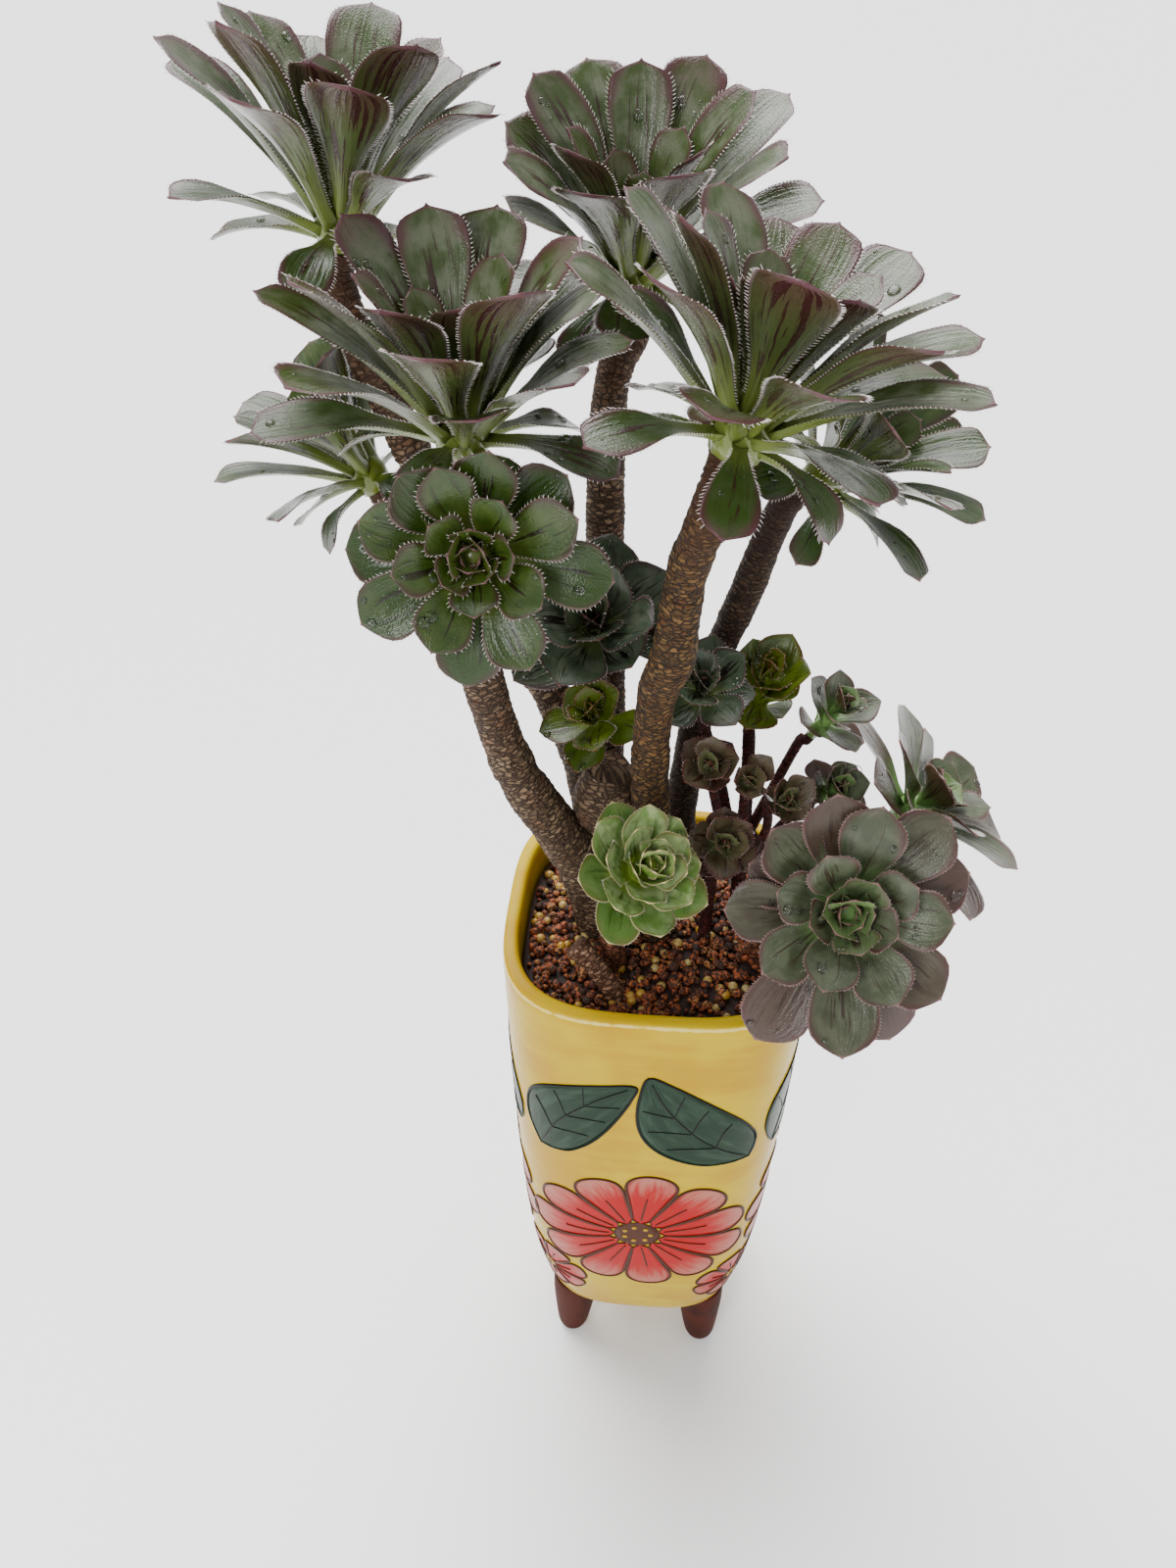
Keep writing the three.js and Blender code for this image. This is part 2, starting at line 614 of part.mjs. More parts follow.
const STRETCHES = Object.values(STEMS).flatMap(({ branches }) => branches.flatMap((branch) => {
  const line = curveThrough(branchPoints(branch), CLEAR_STEPS);
  return line.slice(1).map((end, i) => ({
    from: new THREE.Vector3(...line[i]),
    to: new THREE.Vector3(...end),
    thickness: [line[i][3], end[3]],
  }));
}));

function clearOfStems(p, clearance) {
  return STRETCHES.every(({ from, to, thickness }) => {
    const run = to.clone().sub(from);
    const share = p.clone().sub(from).dot(run) / run.lengthSq();
    const t = Math.min(1, Math.max(0, share));
    const reach = lerp(thickness[0], thickness[1], t) + clearance;
    return p.distanceToSquared(along(from, run, t)) >= reach * reach;
  });
}

function isClear(p, planes) {
  const beside = planes.every(({ normal, at }) => p.clone().sub(at).dot(normal) <= -PARTING_CLEARANCE);
  const overPot = Math.max(Math.abs(p.x), Math.abs(p.y)) < OVER_POT.halfWidth;
  const above = !overPot || p.z >= OVER_POT.height;
  return beside && above && clearOfStems(p, STEM_CLEARANCE);
}

// Leaves of a rosette, each opened or shortened a little where it would meet something else
function leavesOf(name, k) {
  const h = HEADS[name];
  const planes = partings(name);
  const leaves = [];
  for (let i = 0; i < h.count; i += 1) {
    const plan = leafPlan(h, k, i);
    for (const [turn, scale] of ADJUSTMENTS) {
      const tried = { ...plan, open: plan.open + turn, size: plan.size * scale };
      const rows = leafOutline(h, tried, CLEAR_STATIONS);
      const points = rows.flatMap(({ left, right, centre }) => [left, right, centre]);
      if (tried.open >= STEEPEST && points.every((p) => isClear(p, planes))) {
        leaves.push(tried);
        break;
      }
    }
  }
  return leaves;
}

// One closed blade: flat above, keeled below, thick at the root and thin at the tip
function leafSolid(h, plan) {
  const plain = h.reach < SMALL_REACH || plan.t < INNERMOST;
  const stations = plain ? SMALL_LEAF_STATIONS : LEAF_STATIONS;
  const last = stations.length - 1;
  const rows = leafOutline(h, plan, stations);
  const blade = new THREE.CylinderGeometry(0, 1, 1, 3, last, false);
  reshape(blade, (p) => {
    const i = Math.round((p.y + 0.5) * last);
    const { left, right, centre, upper } = rows[i];
    const s = stations[i];
    const depth = (KEEL_SHARE * h.reach + KEEL_MORE) * (i === 0 ? LEAF_ROOT_SHARE : 1);
    if (i === last) {
      return centre;
    }
    if (i === 0 && p.z < 0.1 && Math.abs(p.x) > 0.1) {
      return (p.x > 0 ? left : right).clone().lerp(centre, 1 - LEAF_ROOT_SHARE);
    }
    if (Math.hypot(p.x, p.z) < 1e-6) {
      return along(centre, upper, -ROOT_SEAT * depth);
    }
    if (p.z > 0.1) {
      return along(centre, upper, -depth);
    }
    return p.x > 0 ? left : right;
  });
  return solid(blade);
}

function makeHead(name, k) {
  const h = HEADS[name];
  const profile = SHOOT_PROFILE.map(([r, y]) => new THREE.Vector2(r * h.thick, y * h.core));
  const shoot = new THREE.LatheGeometry([new THREE.Vector2(0, 0), ...profile], SHOOT_SIDES);
  const [e1, e2, e3] = basis(h.axis);
  reshape(shoot, (p) => along(along(along(h.base, e1, p.x), e2, -p.z), e3, p.y));
  return fuse([solid(shoot), ...leavesOf(name, k).map((plan) => leafSolid(h, plan))]);
}

const aeonium = new THREE.Group();
aeonium.add(named("pot", makePot()));
aeonium.add(named("soil", makeSoil(Object.values(STEMS).map(holeFor))));
for (const [name, stem] of Object.entries(STEMS)) {
  aeonium.add(named(name, makeStem(stem)));
}
Object.keys(HEADS).forEach((name, k) => aeonium.add(named(name, makeHead(name, k))));

// Origin on the ground under the middle of the object
const extent = new THREE.Box3().setFromObject(aeonium);
const middle = extent.getCenter(new THREE.Vector3());
aeonium.position.set(-middle.x, -middle.y, -extent.min.z);

export default aeonium;
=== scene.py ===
"""Potted aeonium: fine leaves, bark, soil and painted glaze on the packed frame of the plant.

Sizes of the plan are millimetres from the pot's axis. They become metres where a mesh is made.
"""

import math
import random
from collections import namedtuple
from functools import cache

import bmesh
import bpy
import numpy as np
from bpy.props import FloatProperty, FloatVectorProperty, IntProperty, PointerProperty
from mathutils import Matrix, Vector


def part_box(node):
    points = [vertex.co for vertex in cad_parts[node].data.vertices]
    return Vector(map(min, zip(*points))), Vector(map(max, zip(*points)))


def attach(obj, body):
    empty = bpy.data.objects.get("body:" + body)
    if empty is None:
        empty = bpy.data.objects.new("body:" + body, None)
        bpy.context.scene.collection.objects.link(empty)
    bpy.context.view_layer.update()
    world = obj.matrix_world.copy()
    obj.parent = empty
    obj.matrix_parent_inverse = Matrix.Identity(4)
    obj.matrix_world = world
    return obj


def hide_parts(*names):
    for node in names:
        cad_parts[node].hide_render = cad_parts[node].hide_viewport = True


bl_info = {
    "name": "Potted aeonium",
    "version": (1, 0, 0),
    "blender": (4, 5, 0),
    "location": "View3D > Sidebar > Aeonium",
    "description": "Builds the leaves, bark, soil and painted pot of a potted aeonium",
    "category": "Add Mesh",
}

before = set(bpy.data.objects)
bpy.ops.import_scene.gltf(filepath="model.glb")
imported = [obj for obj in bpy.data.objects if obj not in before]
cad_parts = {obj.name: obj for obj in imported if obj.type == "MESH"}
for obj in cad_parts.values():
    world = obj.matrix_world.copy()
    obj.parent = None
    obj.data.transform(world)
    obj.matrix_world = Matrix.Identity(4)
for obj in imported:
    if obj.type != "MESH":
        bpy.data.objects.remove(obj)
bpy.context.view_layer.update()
POT_LOW, POT_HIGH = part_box("pot")
MM = 0.001
# The pot's axis in the frame, in millimetres
AXIS_X = (POT_LOW.x + POT_HIGH.x) / 2 / MM
AXIS_Y = (POT_LOW.y + POT_HIGH.y) / 2 / MM

# Plan of the plant

# base: foot of the rosette. axis: where it faces. reach: longest leaf. count: leaves.
# core and thick: height and radius of the short shoot. open: opening of the lowest leaf.
# turn: of its first leaf. kind and tint: of its leaves. taller: how much taller than wide.
Rosette = namedtuple("Rosette", "base axis reach count core thick open turn kind tint taller",
                     defaults=(0,))
ROSETTES = {
    "head_upper_left": Rosette(
        (-113, 35, 562), (0.16, 0, 1), 61, 31, 17, 7, 98, 20, "spoon", "dusky"),
    "head_upper_back": Rosette(
        (-20, 66, 541), (0.02, -0.3, 0.95), 62, 31, 19, 7, 94, 75, "spoon", "dusky"),
    "head_front_left": Rosette(
        (-67, -22, 519), (0.04, -0.08, 1), 61, 37, 19, 7.5, 112, 176, "spoon", "dusky"),
    "head_front_right": Rosette(
        (13, -50, 534), (0.24, -0.02, 0.96), 56, 42, 19, 7.5, 120, 222, "spoon", "dusky"),
    "head_right": Rosette(
        (43, 14, 496), (0.62, -0.3, 0.7), 48, 24, 16, 6.5, 102, 0, "spoon", "green"),
    "head_left": Rosette(
        (-110, 34, 481), (-0.5, -0.02, 0.86), 50, 24, 15, 6, 110, 300, "spoon", "green"),
    "head_low_left": Rosette(
        (-57, -58, 506), (0.02, -0.93, 0.36), 34, 23, 14, 6, 88, 40, "round", "green"),
    "head_middle": Rosette(
        (-28, 2, 441), (-0.02, -0.56, 0.8), 31, 15, 13, 5, 80, 10, "leafy", "slate"),
    "head_soil_green": Rosette(
        (-14, -34, 355), (0.36, -0.5, 0.78), 26, 24, 28, 6, 66, 120, "cup", "fresh"),
    "head_low_right": Rosette(
        (68, -36, 350), (0.02, -0.8, 0.6), 47, 26, 18, 7, 92, 95, "round", "plum", 0.16),
    "head_far_right": Rosette(
        (100, 26, 342), (0.66, 0.02, 0.7), 52, 18, 16, 6, 84, 33, "round", "plum"),
    "offset_olive": Rosette(
        (33, 27, 392), (0.15, -0.3, 0.94), 26, 12, 28, 3, 72, 15, "leafy", "olive"),
    "offset_dark": Rosette(
        (12, 11, 408), (0, -0.45, 0.88), 22, 10, 15, 2.6, 70, 200, "leafy", "slate"),
    "offset_grey": Rosette(
        (57, 20, 389), (0.4, -0.25, 0.88), 20, 11, 22, 2.4, 72, 60, "leafy", "plum"),
    "offset_grey_low": Rosette(
        (62, 7, 368), (0.35, -0.5, 0.78), 18, 9, 15, 2.4, 70, 100, "leafy", "plum"),
    "offset_plum_one": Rosette(
        (17, -3, 386), (-0.05, -0.6, 0.8), 17, 9, 9, 2.2, 66, 31, "leafy", "wine"),
    "offset_plum_two": Rosette(
        (31, -5, 381), (0.05, -0.6, 0.8), 15, 7, 8, 2, 66, 222, "leafy", "wine"),
    "offset_plum_three": Rosette(
        (43, -8, 374), (0.2, -0.6, 0.78), 18, 8, 12, 2.2, 66, 130, "leafy", "wine"),
    "offset_soil_plum": Rosette(
        (23, -16, 361), (0.1, -0.72, 0.68), 18, 11, 8, 2.8, 76, 77, "leafy", "wine"),
    "offset_green": Rosette(
        (-26, 14, 392), (-0.25, -0.45, 0.86), 22, 11, 12, 2.8, 76, 310, "leafy", "olive"),
}

# wide: widest half-width as a share of the reach. narrow: share of it left in the shortest leaf.
# first: length of the innermost leaf. full: share of the leaves over which length grows. power:
# how soon the leaves open. bend: of the inner and outer leaves. last: length of the lowest.
# inner: opening of the innermost. bowl: how deep the rosette stays. shape: half-width along it.
Kind = namedtuple("Kind", "wide narrow first full power bend last inner bowl shape")
KINDS = {
    "spoon": Kind(0.19, 0.2, 0.34, 0.42, 1, (16, 34), 0.56, 6, 0.58, (
        (0, 0.34), (0.16, 0.27), (0.36, 0.42), (0.56, 0.74), (0.74, 0.97), (0.85, 1),
        (0.94, 0.9), (0.985, 0.6), (1, 0.08))),
    "round": Kind(0.285, 0.46, 0.26, 0.9, 0.8, (6, 22), 1, 8, 1, (
        (0, 0.36), (0.16, 0.34), (0.36, 0.58), (0.56, 0.88), (0.72, 1), (0.84, 0.93),
        (0.93, 0.66), (0.98, 0.33), (1, 0.05))),
    "cup": Kind(0.37, 0.3, 0.45, 0.8, 0.9, (-14, 6), 1, 10, 1, (
        (0, 0.5), (0.2, 0.6), (0.4, 0.86), (0.6, 1), (0.76, 0.96), (0.88, 0.76),
        (0.95, 0.5), (0.985, 0.25), (1, 0.04))),
    "leafy": Kind(0.4, 0.3, 0.5, 0.5, 0.75, (4, 18), 0.95, 8, 1, (
        (0, 0.4), (0.16, 0.42), (0.36, 0.7), (0.56, 0.95), (0.68, 1), (0.82, 0.82),
        (0.92, 0.5), (0.98, 0.2), (1, 0.04))),
}
GOLDEN_ANGLE = 137.508
# How much chance there is in a leaf: in degrees, and in its size as a share
TURN_CHANCE = 4
SIZE_CHANCE = 0.05
OPEN_CHANCE = 2.5
BEND_CHANCE = 3
ROLL_CHANCE = 6
# Where the lowest leaves begin, as a share of all leaves, and over what share they become so
LOWEST_FROM = 0.68
LOWEST_RUN = 0.28
# Leaves of the bud: how many, their size, their place on the shoot, how far they curl in, and
# the chance in them
BUD_LEAVES = 6
BUD_SIZE = 0.9
BUD_PLACE = 0.02
BUD_CURL = 14
BUD_OPEN_CHANCE = 1.5
BUD_ROLL_CHANCE = 5
# Short shoot as (radius, height): what the leaves stand on, and its own rounder skin
SHOOT_PROFILE = ((1, 0), (1.2, 0.45), (0.55, 1), (0, 1))
SHOOT_RINGS = ((1, 0), (1.1, 0.2), (1.2, 0.45), (0.95, 0.75), (0.55, 1))
SHOOT_AROUND = 12
# Height of the lowest leaf as a share of the shoot's radius, and share of the rest that has leaves
SHOOT_FOOT = 0.45
SHOOT_RUN = 0.92
# Middle line of a leaf: its steps, how deep its root is in the shoot, how far a root opens at
# most before the rest becomes bend, and how the bend gathers towards the tip
LEAF_STEPS = 40
LEAF_SUNK = 1.6
LEAF_ROOT_OPEN = 84
BEND_POWER = 1.4
# Depth of a leaf's trough at its root and its tip, as a share of its half-width, and how it
# steepens towards the edges
TROUGH = (0.38, 0.1)
TROUGH_POWER = 1.6
# How far leaves keep off the planes that part the rosettes, off stems, and off the pot's rim,
# and at which stations along them. A rosette's middle is a share of its reach above its base.
ROSETTE_MIDDLE = 0.38
PARTING_CLEARANCE = 0.5
STEM_CLEARANCE = 1.8
POT_CLEAR_HALF = 69
POT_CLEAR_HEIGHT = 312
LEAST_OPEN = 4
CLEAR_STATIONS = (0.35, 0.5, 0.65, 0.8, 0.92, 1)
# Tried in turn until a leaf is clear: degrees that it opens further, and share of its size
ADJUSTMENTS = (
    (0, 1), (-6, 1), (6, 1), (0, 0.9), (-6, 0.9), (6, 0.9), (-12, 1), (12, 1), (0, 0.8),
    (-12, 0.8), (12, 0.8), (-20, 0.9), (20, 0.9), (0, 0.7), (-14, 0.7), (14, 0.7),
    (-26, 0.8), (26, 0.8), (0, 0.6), (-20, 0.6), (20, 0.6), (0, 0.5), (-30, 0.6),
    (30, 0.6), (-25, 0.5), (25, 0.5), (-45, 0.6),
)
# Mesh of a blade: where its rings stand along it, and how many points go round it
BLADE_ROWS = (0, 0.07, 0.16, 0.26, 0.37, 0.48, 0.59, 0.69, 0.78, 0.86, 0.92, 0.96, 0.985, 1)
BLADE_AROUND = 16
# Keel under a blade's foot: depth as a share of the reach, and millimetres that are added
KEEL_SHARE = 0.032
KEEL_MORE = 0.4
# What a tip has lost of the keel's depth and of the edge's thickness
KEEL_LOSS = 0.72
EDGE_LOSS = 0.35
# Waves along an edge, how far the two edges are out of step, how the waves gather at the edge,
# and how much higher they are on a cupped leaf
WAVES = 1.4
OUT_OF_STEP = 1.7
WAVE_POWER = 3
CUP_WAVE = 2.6
# A leaf ends in a blunt point. Its height is a share of the reach, its foot a share of the
# blade's half-width. It begins at a share of the length, and the skin closes a little beyond.
POINT_HEIGHT = 0.025
POINT_FOOT = 0.45
POINT_FROM = 0.86
POINT_RUN = 0.14
TIP_OUT = 0.012
# Hairs stand along this part of an edge, just inside it
FRINGE_SPAN = (0.13, 0.99)
HAIR_ACROSS = 0.995
# A hair: radius of its foot, share of it that is left at the tip, and how deep the foot is sunk
HAIR_RADIUS = 0.12
HAIR_TIP = 0.25
HAIR_SUNK = 0.1

# Branches of the stems: rosette carried, radius there, points (x, y, z, radius) from the ground up
STEMS = {
    "trunk": (
        ("head_front_left", 6.6, ((-24, 2, 284, 11.5), (-30, 1, 324, 11.5), (-43, -5, 354, 9.8),
                                  (-58, -11, 390, 8.2), (-67, -16, 434, 7.3), (-68, -20, 480, 7.2))),
        ("head_low_left", 5.2, ((-66, -17, 456, 5), (-66, -30, 474, 5.2), (-60, -43, 492, 5.2))),
        ("head_upper_left", 6.4, ((-26, 4, 310, 9), (-31, 16, 360, 8.8), (-47, 24, 400, 7.6),
                                  (-73, 31, 440, 7), (-98, 34, 500, 6.6))),
        ("head_left", 5.2, ((-84, 31, 462, 5), (-97, 34, 474, 5))),
        ("head_upper_back", 6.2, ((-26, 6, 312, 8.5), (-26, 24, 362, 9), (-28, 43, 440, 7.6),
                                  (-27, 55, 510, 6.6))),
        ("head_middle", 4.4, ((-27, 30, 392, 4), (-31, 18, 420, 4.2))),
        ("offset_green", 2.6, ((-31, 12, 362, 2.6), (-26, 17, 384, 2.6))),
        (None, 5, ((-27, 8, 345, 9), (-24, 3, 366, 12.5), (-22, 1, 382, 8.5))),
    ),
    "stem_front": (
        ("head_front_right", 6.4, ((0, -2, 284, 8), (-4, -7, 350, 7.6), (-6, -13, 392, 7),
                                   (-5, -20, 432, 6.8), (0, -28, 455, 7.2), (3, -37, 492, 6.4))),
    ),
    "stem_right": (
        ("head_right", 5.4, ((8, 24, 284, 7), (8, 29, 350, 6.6), (14, 33, 400, 6.2),
                             (26, 32, 444, 6))),
    ),
    "stem_offsets": (
        ("offset_olive", 2.2, ((34, 10, 284, 3.2), (34, 14, 340, 3), (33, 24, 380, 2.6))),
        ("offset_dark", 2.1, ((34, 11, 310, 2.4), (24, 16, 360, 2.3), (13, 19, 395, 2.2))),
        ("offset_grey", 2.1, ((34, 13, 334, 2.4), (45, 20, 362, 2.2), (53, 22, 384, 2.1))),
        ("offset_grey_low", 2, ((34, 12, 322, 2.3), (50, 14, 346, 2.2), (58, 13, 362, 2.1))),
        ("offset_plum_one", 1.9, ((34, 10, 318, 2.2), (24, 6, 350, 2), (18, 3, 376, 1.9))),
        ("offset_plum_two", 1.8, ((34, 10, 326, 2.1), (33, 5, 352, 1.9), (31, 1, 374, 1.8))),
        ("offset_plum_three", 1.9, ((34, 10, 322, 2.2), (42, 6, 348, 2), (41, 1, 368, 1.9))),
    ),
    "stem_soil_plum": (
        ("offset_soil_plum", 2.4, ((20, -2, 284, 3), (21, -3, 325, 2.6), (22, -7, 347, 2.5))),
    ),
    "stem_soil_green": (
        ("head_soil_green", 5.2, ((-17, -22, 284, 5.4), (-19, -24, 320, 5.2),
                                  (-19, -27, 342, 5.2))),
    ),
    "stem_low_right": (
        ("head_low_right", 6.2, ((46, -14, 284, 6.6), (47, -13, 318, 6.4), (62, -16, 336, 6.2))),
        ("head_far_right", 5.2, ((47, -13, 310, 5), (58, 2, 326, 5), (80, 17, 334, 5))),
    ),
    "stump": (
        (None, 5.6, ((-13, -38, 284, 5), (-18, -38, 297, 4.6), (-26, -35, 308, 4.5),
                     (-33, -32, 315, 4.8))),
    ),
}
# Finish of each stem, and how far apart its leaf scars are along and round it
BARKS = {
    "trunk": ("grey", 3.0, 7.5),
    "stem_front": ("tan", 2.7, 6.5),
    # the brown finish is the stem's bark darkened as painted shade
    "stem_right": ("brown", 2.7, 6.0),
    "stem_offsets": ("red", 2.4, 3.0),
    "stem_soil_plum": ("red", 2.2, 3.2),
    "stem_soil_green": ("rust", 2.6, 5.5),
    "stem_low_right": ("rust", 2.7, 5.5),
    "stump": ("cork", 2.1, 30.0),
}
# Straight neck under a rosette: its length as a share of the stem's radius and at least in
# millimetres, how much wider its foot is, and the gap left under the rosette
NECK_SHARE = 2.2
NECK_LEAST = 5
NECK_WIDER = 1.02
GAP = 0.3
# Height of the leaf scars as a share of the radius, up to the radius where they grow no more
SCAR_DEPTH = 0.055
SCAR_LARGEST = 7
# How much lumpier the burl and the stump are than a branch with a rosette
KNOBBY = 2.2
# Millimetres between the places in the grain that the branches of a stem are cut from
GRAIN_APART = 60
# Mesh of a stem: step along it and sides round it, coarser for stalks under this radius
THIN_STALK = 3.5
THIN_MESH = (0.9, 14)
WOODY_MESH = (0.75, 40)

# Pot: wall as (half-width, height), plan a circle pressed towards a square
SQUARENESS = 3.35
POT_PROFILE = (
    (47.5, 48), (50.4, 50.2), (51.8, 54), (54.2, 66), (58.2, 92), (60.8, 122), (62.4, 155),
    (63.7, 195), (64.4, 235), (64.9, 270), (65.3, 296), (65.4, 302), (65.2, 306), (64.4, 307.6),
    (62, 308), (59.8, 307.5), (58.9, 305.4), (58.6, 301), (58.2, 280), (57.6, 240), (51.6, 100),
    (45, 60),
)
# Points of the profile that are its straight outside, up to the rim's edge
POT_OUTSIDE = POT_PROFILE[2:13]
# Points round the pot's mesh, and in the table of distances round its plan
WALL_AROUND = 144
ROUND_POINTS = 1441
# Where the rim carries a painted highlight: round its outer edge
RIM_EDGE = POT_PROFILE[12]
RIM_HIGHLIGHT_REACH = 1.8
FOOT_PROFILE = (
    (3.6, 0), (5.0, 0.3), (6.8, 1.6), (8.2, 5), (9.2, 11), (11.0, 27), (12.4, 43), (12.2, 53),
)
FOOT_SPREAD_TOP = 34
FOOT_SPREAD_TIP = 36.5
FOOT_AROUND = 28
# Soil: its wall in the pot, then the half-widths of the bed that its granules lie on
SOIL_WALL = ((50.9, 62), (51.2, 100), (57.2, 240), (57.6, 290))
SOIL_LEVEL = 294
BED_HALVES = (57, 54, 48, 40, 30, 18)
BED_DEPTH = 1.2
# Middle, height and spread of the mound round the trunk
MOUND_X = -6
MOUND_Y = 4
MOUND_HEIGHT = 3
MOUND_SPREAD = 30
# Granules and prills: how far their middles lie under the level, how far out they are spread and
# may reach, their radii, and the seed of their chance
GRAINS_LOWER = 0.8
GRAIN_SPREAD = 55.2
GRAIN_LIMIT = 57
GRANULE_SIZE = (1.2, 3.4)
PRILL_SIZE = (1.5, 2.3)
SOIL_SEED = 41
# Chance in a grain: its place on the spiral, its height and its turn
GRAIN_SWING = (-0.3, 0.3)
GRAIN_LIFT = (-0.6, 0.9)
GRAIN_TURN = (0, 6.28)
# Shape of a prill as (x, y, z), and the chance in a granule's size, width, height and roughness
PRILL_STRETCH = (1, 1, 0.95)
GRANULE_SHRINK = (0.75, 1)
GRANULE_WIDTH = (0.65, 1)
GRANULE_HEIGHT = (0.6, 0.9)
GRANULE_ROUGH = (0.78, 1.12)
# Water drops lie on leaves longer than this, where the upper face looks up at least this much
DROP_LEAF = 14
DROP_SLOPE = 0.15
DROPS_SEED = 7
# Chance in a drop: its station on the leaf, its place across it and its length
DROP_ALONG = (0.45, 0.95)
DROP_ACROSS = (-0.75, 0.75)
DROP_LENGTH = (0.85, 1.25)
# Size of the smallest as a share of the largest, how much more small ones there are, and how
# flat they all are
DROP_LEAST = 0.25
DROP_POWER = 2.2
DROP_FLAT = 0.5
# Gloss of the leaves' wax, and of the glaze, which a film of dust takes some shine off
CUTICLE_GLOSS = 0.15
GLAZE_SHINE = 0.08

# Stage: the camera's place in the plan, how far it looks down and left in degrees, and the lamps
CAMERA_PLACE = (-3, -346, 660)
CAMERA_DOWN = 39.5
CAMERA_LEFT = 4.57
SENSOR = 36
CLIP = (0.02, 60)
KEY_DIRECTION = (0.25, -0.55, -1)
SOFTBOX_PLACE = (-0.5, -1, 0.95)
SOFTBOX_DIRECTION = (0.5, 1, -0.5)
FLOOR_SIZE = 20

# Properties


def colour(name, value, words):
    """A colour property whose default is given in sRGB hex"""
    return FloatVectorProperty(
        name=name, description=words, subtype="COLOR", size=3, min=0, max=1,
        default=linear(value))


def linear(value):
    """sRGB hex to linear red, green and blue"""
    channels = [int(value[i:i + 2], 16) / 255 for i in (1, 3, 5)]
    return tuple(
        c / 12.92 if c <= 0.04045 else ((c + 0.055) / 1.055) ** 2.4 for c in channels)


LEAF_PLACES = {
    "blade": "Upper face of the leaf",
    # pale: partly the leaf's own uneven bloom, partly a painted grey-lilac sheen
    "pale": "Paler clouds on the upper face",
    "low": "Upper face of the lowest leaves",
    "flush": "What the sun brings out towards the tip",
    "streak": "Dark streaks along the middle",
    "margin": "Thin line along the edge",
    "root": "Base of the leaf",
    "back": "Under face of the leaf",
}


def leaf_tint(name, words, **values):
    """A group of properties with a colour for each place on a leaf"""
    places = {
        place: colour(place.capitalize(), values[place], text)
        for place, text in LEAF_PLACES.items()}
    return type(name, (bpy.types.PropertyGroup,), {"__doc__": words, "__annotations__": places})


TINTS = {
    "dusky": leaf_tint(
        "DuskyLeaf", "Colours of the big dark rosettes, with a burgundy flush",
        blade="#36451D", pale="#5F6651", low="#2B3F14", flush="#47262B",
        streak="#300B14", margin="#5A313A", root="#5E6A2B", back="#46512A"),
    "green": leaf_tint(
        "GreenLeaf", "Colours of the darker green rosettes",
        blade="#273A0E", pale="#3B4A1E", low="#203509", flush="#33231A",
        streak="#150A03", margin="#6D4A4C", root="#55611F", back="#394811"),
    "slate": leaf_tint(
        "SlateLeaf", "Colours of the blue-green rosettes in the shade, with purple older leaves",
        blade="#3C4A38", pale="#5C6453", low="#33402C", flush="#3A2829",
        streak="#18080A", margin="#5C2E2D", root="#5A6636", back="#3F4230"),
    "fresh": leaf_tint(
        "FreshLeaf", "Colours of the bright rosette at the soil, with brown oldest edges",
        blade="#6C8B45", pale="#B2C48C", low="#577A34", flush="#6E6A3C",
        streak="#465C25", margin="#E0CB94", root="#9DB548", back="#698E36"),
    "plum": leaf_tint(
        "PlumLeaf", "Colours of the purple-grey rosettes at the right",
        blade="#3E4530", pale="#565D48", low="#49332F", flush="#472D2A",
        streak="#352A22", margin="#8A6260", root="#6F9152", back="#4A4028"),
    "wine": leaf_tint(
        "WineLeaf", "Colours of the small dark red offsets",
        blade="#423B29", pale="#584C3A", low="#40231F", flush="#47231F",
        streak="#29100B", margin="#673429", root="#66754A", back="#442A1F"),
    "olive": leaf_tint(
        "OliveLeaf", "Colours of the two green offsets, with red-brown edges",
        blade="#3A4A0F", pale="#546218", low="#3A4C12", flush="#462A0F",
        streak="#2D1E07", margin="#6D4323", root="#61701D", back="#3F4E11"),
}
# What goes with a tint: length of the fringe as a share of the full one, how green the youngest
# leaves are, and the slot for the finish
Habit = namedtuple("Habit", "fringe young slot")
HABITS = {
    "dusky": Habit(1.25, 0.2, "dark_leaf"),
    "green": Habit(1, 0.2, "dark_leaf"),
    "slate": Habit(0.8, 0.2, "dark_leaf"),
    "fresh": Habit(0.8, 0.2, "fresh_green_leaf"),
    "plum": Habit(0.6, 0.6, "plum_leaf"),
    "wine": Habit(0.6, 0.6, "plum_leaf"),
    "olive": Habit(0.7, 0.2, "fresh_green_leaf"),
}


class LeafSize(bpy.types.PropertyGroup):
    """Sizes of the blades and of what is on them"""
    edge: FloatProperty(
        name="Edge", description="Half the thickness of a blade at its edge", default=0.42 * MM,
        unit="LENGTH", precision=5)
    wave: FloatProperty(
        name="Wave", description="Height of the waves in the edge, as a share of the reach",
        default=0.013)
    fringe: FloatProperty(
        name="Fringe", description="Length of the fine hairs on the edge", default=1.05 * MM,
        unit="LENGTH", precision=5)
    fringe_step: FloatProperty(
        name="Fringe step", description="Distance from hair to hair", default=1.15 * MM,
        unit="LENGTH", precision=5)
    drops: IntProperty(name="Drops", description="Number of water drops", default=560, min=0)
    drop: FloatProperty(
        name="Drop", description="Radius of the largest water drop", default=2.3 * MM,
        unit="LENGTH", precision=5)


